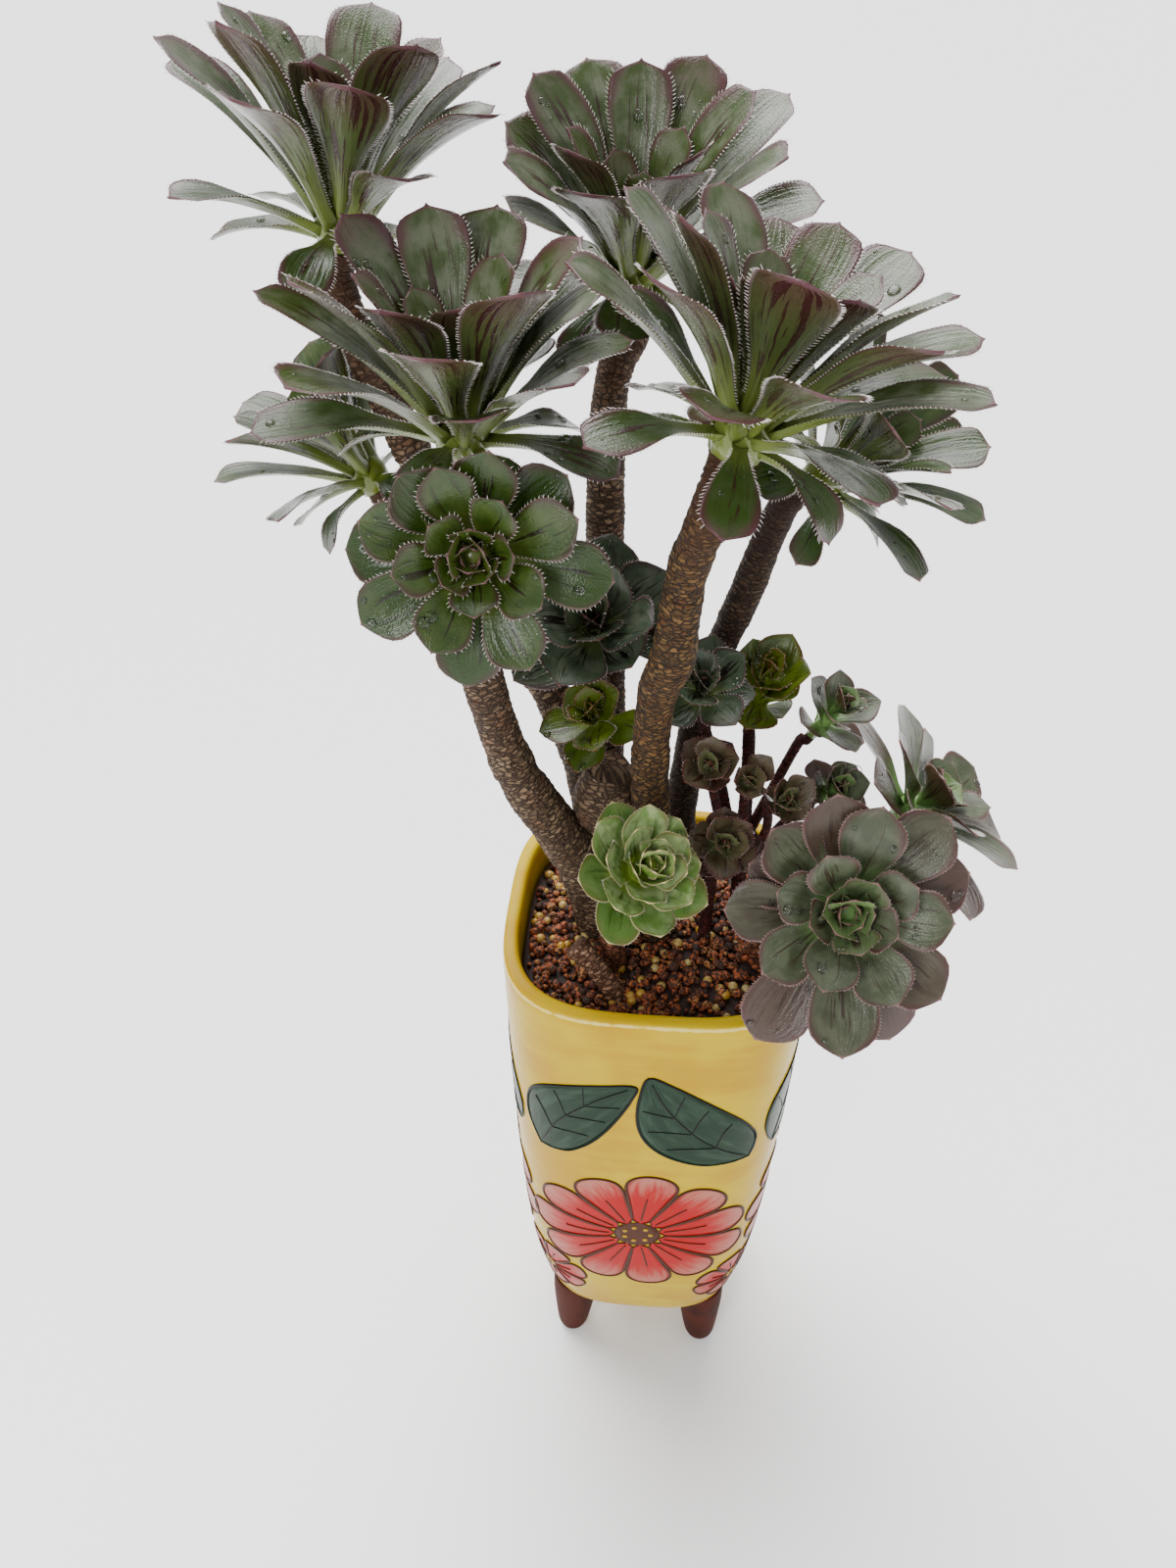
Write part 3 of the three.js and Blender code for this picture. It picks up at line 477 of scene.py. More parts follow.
class BarkColours(bpy.types.PropertyGroup):
    """Colours of the woody stems: scales of the bark and the cracks between them"""
    grey: colour("Grey scales", "#826C54", "Old bark of the trunk")
    grey_crack: colour("Grey cracks", "#22150D", "Cracks of the trunk")
    tan: colour("Tan scales", "#73562F", "Bark of the front stem")
    tan_crack: colour("Tan cracks", "#140B05", "Cracks of the front stem")
    # The brown scales and cracks are the tan bark darkened: painted shade for the stem at the back
    brown: colour("Brown scales", "#54412F", "Bark of the shaded stem")
    brown_crack: colour("Brown cracks", "#1B110B", "Cracks of the shaded stem")
    red: colour("Red scales", "#5A2620", "Skin of the thin stalks")
    red_crack: colour("Red cracks", "#260E0B", "Scars of the thin stalks")
    rust: colour("Rust scales", "#A06548", "Bark near the soil")
    rust_crack: colour("Rust cracks", "#24110A", "Cracks near the soil")
    cork: colour("Cork scales", "#A27F68", "Bark of the cut stump")
    cork_crack: colour("Cork cracks", "#3A2014", "Wrinkles of the cut stump")


class SoilLook(bpy.types.PropertyGroup):
    """Colours and numbers of the granular soil"""
    # the dark is painted shade where the bed shows between the granules; it also darkens some
    # granules and their pores
    dark: colour("Dark", "#260F05", "Gaps between the granules")
    clay: colour("Clay", "#A35023", "Most of the granules")
    light: colour("Light", "#B97A40", "Lightest granules")
    prill: colour("Prill", "#A37A1E", "Round prills of plant food")
    granules: IntProperty(name="Granules", description="Number of granules", default=1700)
    prills: IntProperty(name="Prills", description="Number of round prills", default=120)


class PotLook(bpy.types.PropertyGroup):
    """Colours of the glazed and painted pot"""
    glaze: colour("Glaze", "#B08A00", "Yellow glaze")
    glaze_pale: colour("Pale glaze", "#BC9F00", "Where the brush left the glaze thin")
    # the pale glaze along the rim's outer edge is a painted highlight
    glaze_rim_highlight: colour("Worn glaze", "#D8C26A", "Knocks along the outer edge of the rim")
    clay: colour("Clay", "#431607", "Unglazed feet")
    petal: colour("Petal", "#A00006", "Petal near the middle of a blossom")
    petal_pale: colour("Pale petal", "#A8695A", "Tip of a petal")
    leaf: colour("Leaf", "#142A1A", "Painted leaf")
    line: colour("Line", "#4A2412", "Raised brown line round a petal")
    leaf_line: colour("Leaf line", "#080D09", "Raised line round a leaf")


class StageLook(bpy.types.PropertyGroup):
    """Camera, lights and floor"""
    lens: FloatProperty(
        name="Lens", description="Focal length", default=26, min=1, unit="CAMERA")
    floor: colour("Floor", "#FBFBFB", "Plain pale floor")
    key: FloatProperty(name="Key light", description="Strength of the light from behind", default=6.7)
    spread: FloatProperty(
        name="Spread", description="Apparent size of that light", default=math.radians(55),
        subtype="ANGLE")
    sky: FloatProperty(name="Sky", description="Strength of the light all round", default=0.87)
    front: FloatProperty(
        name="Front light", description="Power of the softbox in front", default=7, unit="POWER")
    front_size: FloatProperty(
        name="Front size", description="Width of the softbox in front", default=0.35, unit="LENGTH")


# Small tools

def lerp(a, b, t):
    return a + (b - a) * t


def smooth(t):
    c = min(1, max(0, t))
    return c * c * (3 - 2 * c)


def wobble(a, b, c):
    """Repeatable small irregularity between -1 and 1. The three numbers say what it is for, so
    that a leaf's turn, size and bend each have their own."""
    x = math.sin(a * 12.9898 + b * 78.233 + c * 37.719) * 43758.5453
    return (x - math.floor(x)) * 2 - 1


def unit(v):
    v = np.asarray(v, float)
    return v / math.sqrt(v @ v)


def place(p):
    """A point of the plan in the frame's metres"""
    return Vector(((p[0] + AXIS_X) * MM, (p[1] + AXIS_Y) * MM, p[2] * MM))


def table_value(table, t):
    """Smooth reading of a table of (place, value)"""
    xs = [x for x, _ in table]
    ys = [y for _, y in table]
    i = min(len(xs) - 2, max(0, int(np.searchsorted(xs, t, side="right")) - 1))
    slope = []
    for j in (i, i + 1):
        a, b = max(0, j - 1), min(len(xs) - 1, j + 1)
        slope.append((ys[b] - ys[a]) / (xs[b] - xs[a]))
    run = xs[i + 1] - xs[i]
    u = (t - xs[i]) / run
    return (ys[i] * (1 + 2 * u) * (1 - u) ** 2 + slope[0] * run * u * (1 - u) ** 2
            + ys[i + 1] * u * u * (3 - 2 * u) + slope[1] * run * u * u * (u - 1))


def curve_through(points, per):
    """Smooth curve through points of any number of coordinates"""
    points = [np.array(p, float) for p in points]
    out = []
    for i in range(len(points) - 1):
        a, b = points[max(0, i - 1)], points[i]
        c, d = points[i + 1], points[min(len(points) - 1, i + 2)]
        for q in range(per):
            t = q / per
            out.append(0.5 * (2 * b + (c - a) * t + (2 * a - 5 * b + 4 * c - d) * t * t
                              + (3 * b - a - 3 * c + d) * t * t * t))
    out.append(points[-1])
    return out


# Meshes

# Metres under which two points of a skin are one
WELD = 1e-7


def skin(bm, rings, values=None):
    """Closed skin over rings of points: a grid is laid along them, its seam and ends are welded.
    values(i, j) gives what the vertex attributes hold at ring j, point i."""
    around = len(rings[0])
    ups = len(rings) - 1
    made = bmesh.ops.create_grid(bm, x_segments=around, y_segments=ups, size=1)["verts"]
    for v in made:
        i = round((v.co.x + 1) / 2 * around) % around
        j = round((v.co.y + 1) / 2 * ups)
        v.co = rings[j][i]
        if values:
            for layer, value in values(i, j).items():
                v[layer] = value
    faces = list({f for v in made for f in v.link_faces})
    bmesh.ops.remove_doubles(bm, verts=made, dist=WELD)
    return [f for f in faces if f.is_valid]


def ring(around, at):
    """A ring of points in the frame. at(phi) gives each of them in the plan."""
    return [place(at(2 * math.pi * j / around)) for j in range(around)]


def capped(low, rings, high):
    """Rings with a point before and after them, in which their skin closes"""
    around = len(rings[0])
    return [[place(low)] * around, *rings, [place(high)] * around]


def linked(name, data):
    """A new object in the scene"""
    made = bpy.data.objects.new(name, data)
    bpy.context.scene.collection.objects.link(made)
    return made


def grown(name, bm, materials, slot, nodes=()):
    """Turns a finished bmesh into a piece of the object"""
    mesh = bpy.data.meshes.new(name)
    bmesh.ops.recalc_face_normals(bm, faces=bm.faces)
    bm.to_mesh(mesh)
    bm.free()
    mesh.polygons.foreach_set("use_smooth", [True] * len(mesh.polygons))
    for material in materials:
        mesh.materials.append(material)
    piece = linked(name, mesh)
    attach(piece, "root")
    if nodes:
        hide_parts(*nodes)
    return piece


class Patch:
    """A small bmesh that is joined to a larger one, so that each operator works on few faces"""

    def __init__(self, layers):
        self.whole = bmesh.new()
        self.layers = layers
        self.scratch = bpy.data.meshes.new("scratch")
        self.make_layers(self.whole)

    def make_layers(self, bm):
        for name in self.layers:
            if name == "grain":
                bm.verts.layers.float_vector.new(name)
            else:
                bm.verts.layers.float.new(name)

    def start(self):
        bm = bmesh.new()
        self.make_layers(bm)
        return bm

    def join(self, bm):
        bm.to_mesh(self.scratch)
        bm.free()
        self.whole.from_mesh(self.scratch)
        self.scratch.clear_geometry()

    def finish(self):
        bpy.data.meshes.remove(self.scratch)
        return self.whole


# Leaves

def directions(axis):
    """Two directions across a rosette and its own"""
    e3 = unit(axis)
    # any direction will do that isn't nearly along the axis
    up = (0, 1, 0) if abs(e3[1]) < 0.95 else (1, 0, 0)
    e1 = unit(np.cross(up, e3))
    return e1, np.cross(e3, e1), e3


def leaf_plan(h, k, i):
    """Where leaf i of rosette k starts, its size, opening and bend. Leaf 0 is the innermost."""
    t = (i + 0.5) / h.count
    kind = KINDS[h.kind]
    low = smooth((t - LOWEST_FROM) / LOWEST_RUN)
    grown_share = lerp(kind.first, 1, smooth(t / kind.full)) * lerp(1, kind.last, low)
    azimuth = math.radians(h.turn + i * GOLDEN_ANGLE + TURN_CHANCE * wobble(k, i, 1))
    oval = 1 - h.taller * math.cos(2 * azimuth)
    size = h.reach * grown_share * oval * (1 + SIZE_CHANCE * wobble(k, i, 2))
    widest = h.open * lerp(kind.bowl, 1, low)
    opening = lerp(kind.inner, widest, t ** kind.power) + OPEN_CHANCE * wobble(k, i, 3)
    beyond = max(0, opening - LEAF_ROOT_OPEN)
    return {
        "t": t,
        "azimuth": azimuth,
        "size": size,
        "open": opening - beyond,
        "bend": lerp(*kind.bend, t) + BEND_CHANCE * wobble(k, i, 4) + beyond,
        "half": kind.wide * h.reach * lerp(kind.narrow, 1, min(1, size / h.reach)),
        "roll": math.radians(ROLL_CHANCE * wobble(k, i, 5)),
        "number": i,
        "rosette": k,
    }


def bud_plans(h, k):
    """The smallest leaves, closed over the tip of the shoot"""
    kind = KINDS[h.kind]
    plans = []
    for i in range(1, BUD_LEAVES + 1):
        share = 1 - i / (BUD_LEAVES + 3)
        size = h.reach * kind.first * share * BUD_SIZE
        plans.append({
            "t": BUD_PLACE,
            "azimuth": math.radians(h.turn - i * GOLDEN_ANGLE + TURN_CHANCE * wobble(k, i, 11)),
            "size": size,
            "open": kind.inner * share + BUD_OPEN_CHANCE * wobble(k, i, 13),
            "bend": kind.bend[0] * share - BUD_CURL * (1 - share),
            "half": kind.wide * h.reach * lerp(kind.narrow, 1, size / h.reach),
            "roll": math.radians(BUD_ROLL_CHANCE * wobble(k, i, 15)),
            "number": -i,
            "rosette": k,
        })
    return plans


def shoot_radius(h, rise):
    y = rise / h.core
    for (r0, y0), (r1, y1) in zip(SHOOT_PROFILE, SHOOT_PROFILE[1:]):
        if y <= y1:
            return h.thick * lerp(r0, r1, (y - y0) / (y1 - y0))
    return 0


def leaf_line(h, plan, stations):
    """Middle of a leaf at each station, with the directions across it, out of its upper face
    and along it"""
    e1, e2, e3 = directions(h.axis)
    out = e1 * math.cos(plan["azimuth"]) + e2 * math.sin(plan["azimuth"])
    side = np.cross(e3, out)
    low = SHOOT_FOOT * h.thick
    rise = low + (h.core - low) * (1 - plan["t"]) * SHOOT_RUN
    root = np.array(h.base, float) + e3 * rise + out * (shoot_radius(h, rise) - LEAF_SUNK)
    s = (np.arange(LEAF_STEPS) + 0.5) / LEAF_STEPS
    angle = np.radians(plan["open"] + plan["bend"] * s ** BEND_POWER)
    step = plan["size"] / LEAF_STEPS
    moves = np.outer(np.sin(angle) * step, out) + np.outer(np.cos(angle) * step, e3)
    path = np.vstack([root, root + np.cumsum(moves, axis=0)])
    rows = []
    for station in stations:
        x = station * LEAF_STEPS
        q = min(LEAF_STEPS - 1, int(x))
        centre = path[q] + (path[q + 1] - path[q]) * (x - q)
        smooth_angle = np.interp(station, s, angle)
        upper = e3 * math.sin(smooth_angle) - out * math.cos(smooth_angle)
        forward = out * math.sin(smooth_angle) + e3 * math.cos(smooth_angle)
        cos, sin = math.cos(plan["roll"]), math.sin(plan["roll"])
        rows.append((centre, side * cos + upper * sin, upper * cos - side * sin, forward))
    return rows


def outline_points(h, plan):
    """Edges and middle of a leaf at the stations where it is kept clear of its neighbours"""
    points = []
    for s, (centre, across, upper, _) in zip(CLEAR_STATIONS, leaf_line(h, plan, CLEAR_STATIONS)):
        w = plan["half"] * float(np.interp(s, *zip(*KINDS[h.kind].shape)))
        lift = w * lerp(*TROUGH, s)
        points += [centre + across * w + upper * lift, centre - across * w + upper * lift, centre]
    return np.array(points)


def middle_of(h):
    return np.array(h.base, float) + unit(h.axis) * ROSETTE_MIDDLE * h.reach


def partings(name):
    """Planes that part a rosette from each neighbour, nearer to the smaller one"""
    own = ROSETTES[name]
    middle = middle_of(own)
    planes = []
    for other, h in ROSETTES.items():
        apart = middle_of(h) - middle
        if other != name and math.sqrt(apart @ apart) < own.reach + h.reach:
            planes.append((unit(apart), middle + apart * own.reach / (own.reach + h.reach)))
    return planes


def branch_points(branch):
    """Points of a branch, with the straight neck that carries its rosette"""
    carried, radius, points = branch
    if not carried:
        return list(points)
    h = ROSETTES[carried]
    base, axis = np.array(h.base, float), unit(h.axis)
    neck = max(NECK_SHARE * radius, NECK_LEAST)
    before = base - axis * (GAP + neck)
    end = base - axis * GAP
    return [*points, (*before, radius * NECK_WIDER), (*end, radius)]


def stretches():
    """Starts and ends of short straight pieces of all branches, each with its radius"""
    lines = [curve_through(branch_points(b), 4) for bs in STEMS.values() for b in bs]
    starts = np.array([a for line in lines for a in line[:-1]])
    ends = np.array([b for line in lines for b in line[1:]])
    return starts, ends


def leaves_of(name, k, starts, ends):
    """Plans of a rosette's leaves, each opened or shortened a little where it would meet
    something else"""
    h = ROSETTES[name]
    planes = partings(name)
    run = (ends - starts)[:, :3]
    square = (run * run).sum(1)

    def is_clear(points):
        for normal, at in planes:
            if ((points - at) @ normal > -PARTING_CLEARANCE).any():
                return False
        over_pot = np.abs(points[:, :2]).max(1) < POT_CLEAR_HALF
        if (over_pot & (points[:, 2] < POT_CLEAR_HEIGHT)).any():
            return False
        away = points[:, None, :] - starts[None, :, :3]
        t = np.clip((away * run).sum(2) / square, 0, 1)
        nearest = away - t[:, :, None] * run
        reach = lerp(starts[:, 3], ends[:, 3], t) + STEM_CLEARANCE
        return bool(((nearest ** 2).sum(2) >= reach ** 2).all())

    plans = []
    for i in range(h.count):
        plan = leaf_plan(h, k, i)
        for turn, scale in ADJUSTMENTS:
            tried = {**plan, "open": plan["open"] + turn, "size": plan["size"] * scale}
            if tried["open"] >= LEAST_OPEN and is_clear(outline_points(h, tried)):
                plans.append(tried)
                break
    return plans + bud_plans(h, k)


@cache
def all_leaves():
    """Plans of the leaves of each rosette, by name"""
    starts, ends = stretches()
    return {name: leaves_of(name, k, starts, ends) for k, name in enumerate(ROSETTES)}


def blade_point(h, plan, row, s, u, rise, look):
    """A point of a blade: u across from -1 to 1, rise from -1 on the under face to 1 on the upper"""
    centre, across, upper, forward = row
    w = plan["half"] * table_value(KINDS[h.kind].shape, s)
    trough = w * lerp(*TROUGH, s) * abs(u) ** TROUGH_POWER
    k, i = plan["rosette"], plan["number"]
    phase = 3 * wobble(k, i, 7) + (OUT_OF_STEP if u > 0 else 0)
    # waves grow up to the middle of the leaf and end at its tip
    bell = smooth(s / 0.5) * (1 - smooth((s - 0.9) / 0.1))
    wave = look.wave * h.reach * (CUP_WAVE if h.kind == "cup" else 1)
    ripple = wave * bell * abs(u) ** WAVE_POWER * math.sin(2 * math.pi * WAVES * s + phase)
    keel = (KEEL_SHARE * h.reach + KEEL_MORE) * (1 - KEEL_LOSS * s)
    edge = look.edge / MM * (1 - EDGE_LOSS * s)
    if rise >= 0:
        level = trough + ripple + edge * rise
    else:
        level = trough + ripple + (edge + max(0, keel - edge) * (1 - u * u)) * rise
    beside = w * abs(u) / plan["half"]
    height = POINT_HEIGHT * h.reach * max(0, 1 - beside / POINT_FOOT)
    point = height * smooth((s - POINT_FROM) / POINT_RUN)
    return centre + across * w * u + upper * level + forward * point


def grow_blade(patch, h, plan, look):
    """One leaf with its fringe of hairs"""
    bm = patch.start()
    layer = {n: bm.verts.layers.float[n] for n in ("along", "across", "face", "age", "chance")}
    grain = bm.verts.layers.float_vector["grain"]
    rows = leaf_line(h, plan, BLADE_ROWS)
    chance = (wobble(plan["rosette"], plan["number"], 8) + 1) / 2
    rings = []
    for s, row in zip(BLADE_ROWS, rows):
        rings.append(ring(BLADE_AROUND, lambda phi: blade_point(
            h, plan, row, s, math.cos(phi), math.sin(phi), look)))
    tip = rows[-1][0] + rows[-1][3] * (POINT_HEIGHT + TIP_OUT) * h.reach
    rings = capped(rows[0][0], rings, tip)
    stations = (0, *BLADE_ROWS, 1)

    def values(i, j):
        phi = 2 * math.pi * i / BLADE_AROUND
        s = stations[j]
        return {
            layer["along"]: s,
            layer["across"]: math.cos(phi),
            layer["face"]: 0.5 + 0.5 * max(-1, min(1, 3 * math.sin(phi))),
            layer["age"]: plan["t"],
            layer["chance"]: chance,
            grain: (plan["half"] * math.cos(phi), plan["size"] * s, 90 * chance),
        }

    skin(bm, rings, values)
    grow_fringe(bm, h, plan, look)
    patch.join(bm)


def grow_fringe(bm, h, plan, look):
    """Fine hairs that point out and forward from both edges of a blade"""
    first, last = FRINGE_SPAN
    count = int(plan["size"] * (last - first) / (look.fringe_step / MM))
    if count < 3:
        return
    stations = [lerp(first, last, (i + 0.5) / count) for i in range(count)]
    rows = leaf_line(h, plan, stations)
    share = HABITS[h.tint].fringe
    # small rosettes have shorter hairs
    size = look.fringe * share * min(1, 0.45 + h.reach / 80)
    radius = HAIR_RADIUS * share * MM
    for i, (s, row) in enumerate(zip(stations, rows)):
        for side in (-1, 1):
            foot = blade_point(h, plan, row, s, side * HAIR_ACROSS, 0, look)
            jitter = wobble(plan["number"], i, side)
            # near the tip the hairs lean forward
            lean = row[1] * side * lerp(1, 0.35, s ** 4) + row[3] * (0.45 + 0.2 * jitter)
            lean = unit(lean + row[2] * 0.25 * wobble(i, side, 3))
            length = size / MM * (0.85 + 0.25 * jitter)
            spike(bm, place(foot - lean * HAIR_SUNK), place(foot + lean * length), radius)


def spike(bm, foot, tip, radius):
    """A three-sided hair"""
    run = tip - foot
    turn = run.to_track_quat("Z", "Y").to_matrix().to_4x4()
    where = Matrix.Translation((foot + tip) / 2) @ turn
    made = bmesh.ops.create_cone(
        bm, cap_ends=True, cap_tris=False, segments=3, radius1=radius,
        radius2=radius * HAIR_TIP, depth=run.length, matrix=where)
    for face in {f for v in made["verts"] for f in v.link_faces}:
        face.material_index = 1


def grow_shoot(patch, h):
    """Short shoot in the middle of a rosette"""
    bm = patch.start()
    e1, e2, e3 = directions(h.axis)
    base = np.array(h.base, float)
    rings = []
    for r, y in SHOOT_RINGS:
        rings.append(ring(SHOOT_AROUND, lambda phi: (
            base + e3 * y * h.core + (e1 * math.cos(phi) + e2 * math.sin(phi)) * r * h.thick)))
    rings = capped(base, rings, base + e3 * h.core)
    face = bm.verts.layers.float["face"]
    age = bm.verts.layers.float["age"]
    skin(bm, rings, lambda i, j: {face: 0.0, age: 0.5})
    patch.join(bm)


# Stems

def even_points(branch, step):
    """Points of a branch about as far apart as step, each with its distance from the start"""
    fine = np.array(curve_through(branch_points(branch), 24))
    run = np.concatenate([[0], np.cumsum(np.linalg.norm(np.diff(fine[:, :3], axis=0), axis=1))])
    count = max(4, int(run[-1] / step))
    at = np.linspace(0, run[-1], count + 1)
    return np.array([np.interp(at, run, fine[:, c]) for c in range(4)]).T, at


def scar(a, l, pitch, width):
    """Relief of leaf scars on bark: a is the way round and l the way along, in millimetres.
    Rows of crescents, each with a raised lip over a groove."""
    row = math.floor(l / pitch)
    # each row is shifted by half a scar, and rows and scars wander a little
    shift = 0.5 * (row % 2) + 0.18 * wobble(row, 1, 2)
    cell = math.floor(a / width + shift)
    x = (a / width + shift) - cell - 0.5
    y = l / pitch - row - 0.5 + 0.16 * wobble(row, cell, 5)
    # the crescent's arms bend down, and it fades at their ends
    bow = 1.1 * x * x - 0.12
    # the lip lies above its middle and the groove below, both as shares of the pitch
    lip = math.exp(-(((y - bow - 0.12) / 0.17) ** 2))
    groove = math.exp(-(((y - bow + 0.2) / 0.13) ** 2))
    ends = max(0, 1 - (2 * abs(x)) ** 3)
    return (lip - 1.25 * groove) * (0.35 + 0.65 * ends) * (0.75 + 0.35 * wobble(cell, row, 3))


def lump(run, phi, number):
    """How far a stem swells at a distance along it and an angle round it, as a share: uneven
    knuckles 9 mm apart, and three ribs that wind slowly round it"""
    swelling = 0.045 * wobble(round(run / 9), number, 6)
    return swelling + 0.03 * math.sin(3 * phi + run / 11)


def grow_branch(patch, branch, number, pitch, width, step, sides):
    """Skin of one branch with its leaf scars"""
    bm = patch.start()
    relief = bm.verts.layers.float["relief"]
    rise = bm.verts.layers.float["rise"]
    grain = bm.verts.layers.float_vector["grain"]
    points, run = even_points(branch, step)
    last = len(points) - 1
    side = np.array((1.0, 0, 0))
    knobby = 1 if branch[0] else KNOBBY
    rings = []
    marks = []
    for i, (x, y, z, radius) in enumerate(points):
        forward = unit(points[min(last, i + 1)][:3] - points[max(0, i - 1)][:3])
        side = unit(side - forward * (side @ forward))
        other = np.cross(forward, side)
        scars = max(3, round(2 * math.pi * radius / width))
        mark = []

        def bark_point(phi):
            # rows of scars aren't quite level
            along = run[i] + 0.4 * math.sin(2 * phi + i / 9)
            depth = scar(phi / (2 * math.pi) * scars * width, along, pitch, width)
            height = run[i] + GRAIN_APART * number
            where = (radius * math.cos(phi), radius * math.sin(phi), height)
            mark.append((depth, where))
            r = radius * (1 + lump(run[i], phi, number) * knobby)
            r += SCAR_DEPTH * min(radius, SCAR_LARGEST) * depth
            return np.array((x, y, z)) + (side * math.cos(phi) + other * math.sin(phi)) * r

        rings.append(ring(sides, bark_point))
        marks.append(mark)
    rings = capped(points[0], rings, points[-1])
    marks = [marks[0], *marks, marks[-1]]
    # only a branch that carries a rosette has a young end
    top = run[-1] if branch[0] else math.inf

    def values(i, j):
        depth, where = marks[j][i]
        return {relief: depth, grain: where, rise: run[min(last, max(0, j - 1))] / top}

    skin(bm, rings, values)
    patch.join(bm)


# Pot and soil

def pressed(half, phi):
    """Point of the pot's plan at an angle: a circle pressed towards a square"""
    c, s = abs(math.cos(phi)), abs(math.sin(phi))
    k = half * (c ** SQUARENESS + s ** SQUARENESS) ** (-1 / SQUARENESS)
    return k * math.cos(phi), k * math.sin(phi)


def wall_ring(half, height_at):
    """Ring of the pot's plan. height_at(x, y) gives the height of its points."""
    def at(phi):
        x, y = pressed(half, phi)
        return x, y, height_at(x, y)
    return ring(WALL_AROUND, at)


def level_rings(profile):
    """Level rings of the pot's plan for each (half-width, height)"""
    return [wall_ring(half, lambda x, y: z) for half, z in profile]


def wall_half(z):
    """Half-width of the pot's outside at a height"""
    return table_value([(height, half) for half, height in POT_OUTSIDE], z)


def round_run():
    """Angle for each distance round a wall of half-width 1"""
    phis = np.linspace(-math.pi, math.pi, ROUND_POINTS)
    points = np.array([pressed(1, phi) for phi in phis])
    run = np.concatenate([[0], np.cumsum(np.linalg.norm(np.diff(points, axis=0), axis=1))])
    return run - run[-1] / 2, phis


ROUND_RUN, ROUND_PHI = round_run()
# Half-width of the pot where most of the paint is, and length of one of its four faces there
PAINT_HALF = 61
FACE = 2 * float(ROUND_RUN[-1]) * PAINT_HALF / 4


def on_wall(a, z, out):
    """Point of the pot's outside: a is the way round in millimetres from the middle of the front,
    z the height and out the distance from the glaze"""
    turned = a / PAINT_HALF - FACE / PAINT_HALF
    span = ROUND_RUN[-1] * 2
    turned = (turned + span / 2) % span - span / 2
    phi = float(np.interp(turned, ROUND_RUN, ROUND_PHI))
    return (*pressed(wall_half(z) + out, phi), z)


def soil_height(x, y):
    """Height of the soil, which is mounded a little round the trunk"""
    square = (x - MOUND_X) ** 2 + (y - MOUND_Y) ** 2
    return SOIL_LEVEL - GRAINS_LOWER + MOUND_HEIGHT * math.exp(-square / MOUND_SPREAD ** 2)


def bed_height(x, y):
    """Height of the bed that the granules lie on"""
    return soil_height(x, y) - BED_DEPTH


# Materials

# Nodes that the finishes are made of: type, settings, the inputs that its values go to, and the
# output that is read
NODES = {
    "times": ("Math", {"operation": "MULTIPLY"}, (0, 1), 0),
    "plus": ("Math", {"operation": "ADD"}, (0, 1), 0),
    "minus": ("Math", {"operation": "SUBTRACT"}, (0, 1), 0),
    "larger": ("Math", {"operation": "MAXIMUM"}, (0, 1), 0),
    "power": ("Math", {"operation": "POWER"}, (0, 1), 0),
    "size": ("Math", {"operation": "ABSOLUTE"}, (0,), 0),
    "bend": ("VectorMath", {}, (0, 1), 0),
    "stretch": ("Mapping", {}, ("Vector", "Scale"), 0),
    "step": ("MapRange", {"interpolation_type": "SMOOTHSTEP"}, (0, 1, 2), 0),
    "range": ("MapRange", {}, (0, 3, 4), 0),
    "blend": ("Mix", {"data_type": "RGBA"}, (0, 6, 7), 2),
    "noise": ("TexNoise", {}, ("Vector", "Scale", "Detail"), 0),
    "three_noises": ("TexNoise", {}, ("Vector", "Scale", "Detail"), 1),
    "cell_edge": ("TexVoronoi", {"feature": "DISTANCE_TO_EDGE"}, ("Vector", "Scale"), 0),
    "cell_colour": ("TexVoronoi", {}, ("Vector", "Scale"), "Color"),
    "number": ("Attribute", {}, (), "Fac"),
    "vector": ("Attribute", {}, (), "Vector"),
    "object": ("TexCoord", {}, (), "Object"),
    "bump": ("Bump", {}, ("Height", "Strength", "Distance"), 0),
}


class Finish:
    """A material while its nodes are laid"""

    def __init__(self, name):
        self.material = bpy.data.materials.new(name)
        self.material.use_nodes = True
        self.tree = self.material.node_tree

    def feed(self, node, values):
        """Links or sets inputs of a node. A value is a socket, a number or a linear colour."""
        for key, value in values.items():
            socket = node.inputs[key]
            if isinstance(value, bpy.types.NodeSocket):
                self.tree.links.new(value, socket)
            elif socket.type == "RGBA":
                socket.default_value = (*value, 1)
            else:
                socket.default_value = value

    def add(self, what, *values, **settings):
        """Adds a node of the table with its values, and gives its output"""
        kind, fixed, inputs, output = NODES[what]
        node = self.tree.nodes.new(f"ShaderNode{kind}")
        for key, value in {**fixed, **settings}.items():
            setattr(node, key, value)
        self.feed(node, dict(zip(inputs, values)))
        return node.outputs[output]

    def held(self, *names):
        """What the mesh holds at a point under each name"""
        return [self.add("number", attribute_name=name) for name in names]

    def shade(self, values):
        """Feeds the surface's shader and gives the finished material"""
        self.feed(self.tree.nodes["Principled BSDF"], values)
        return self.material


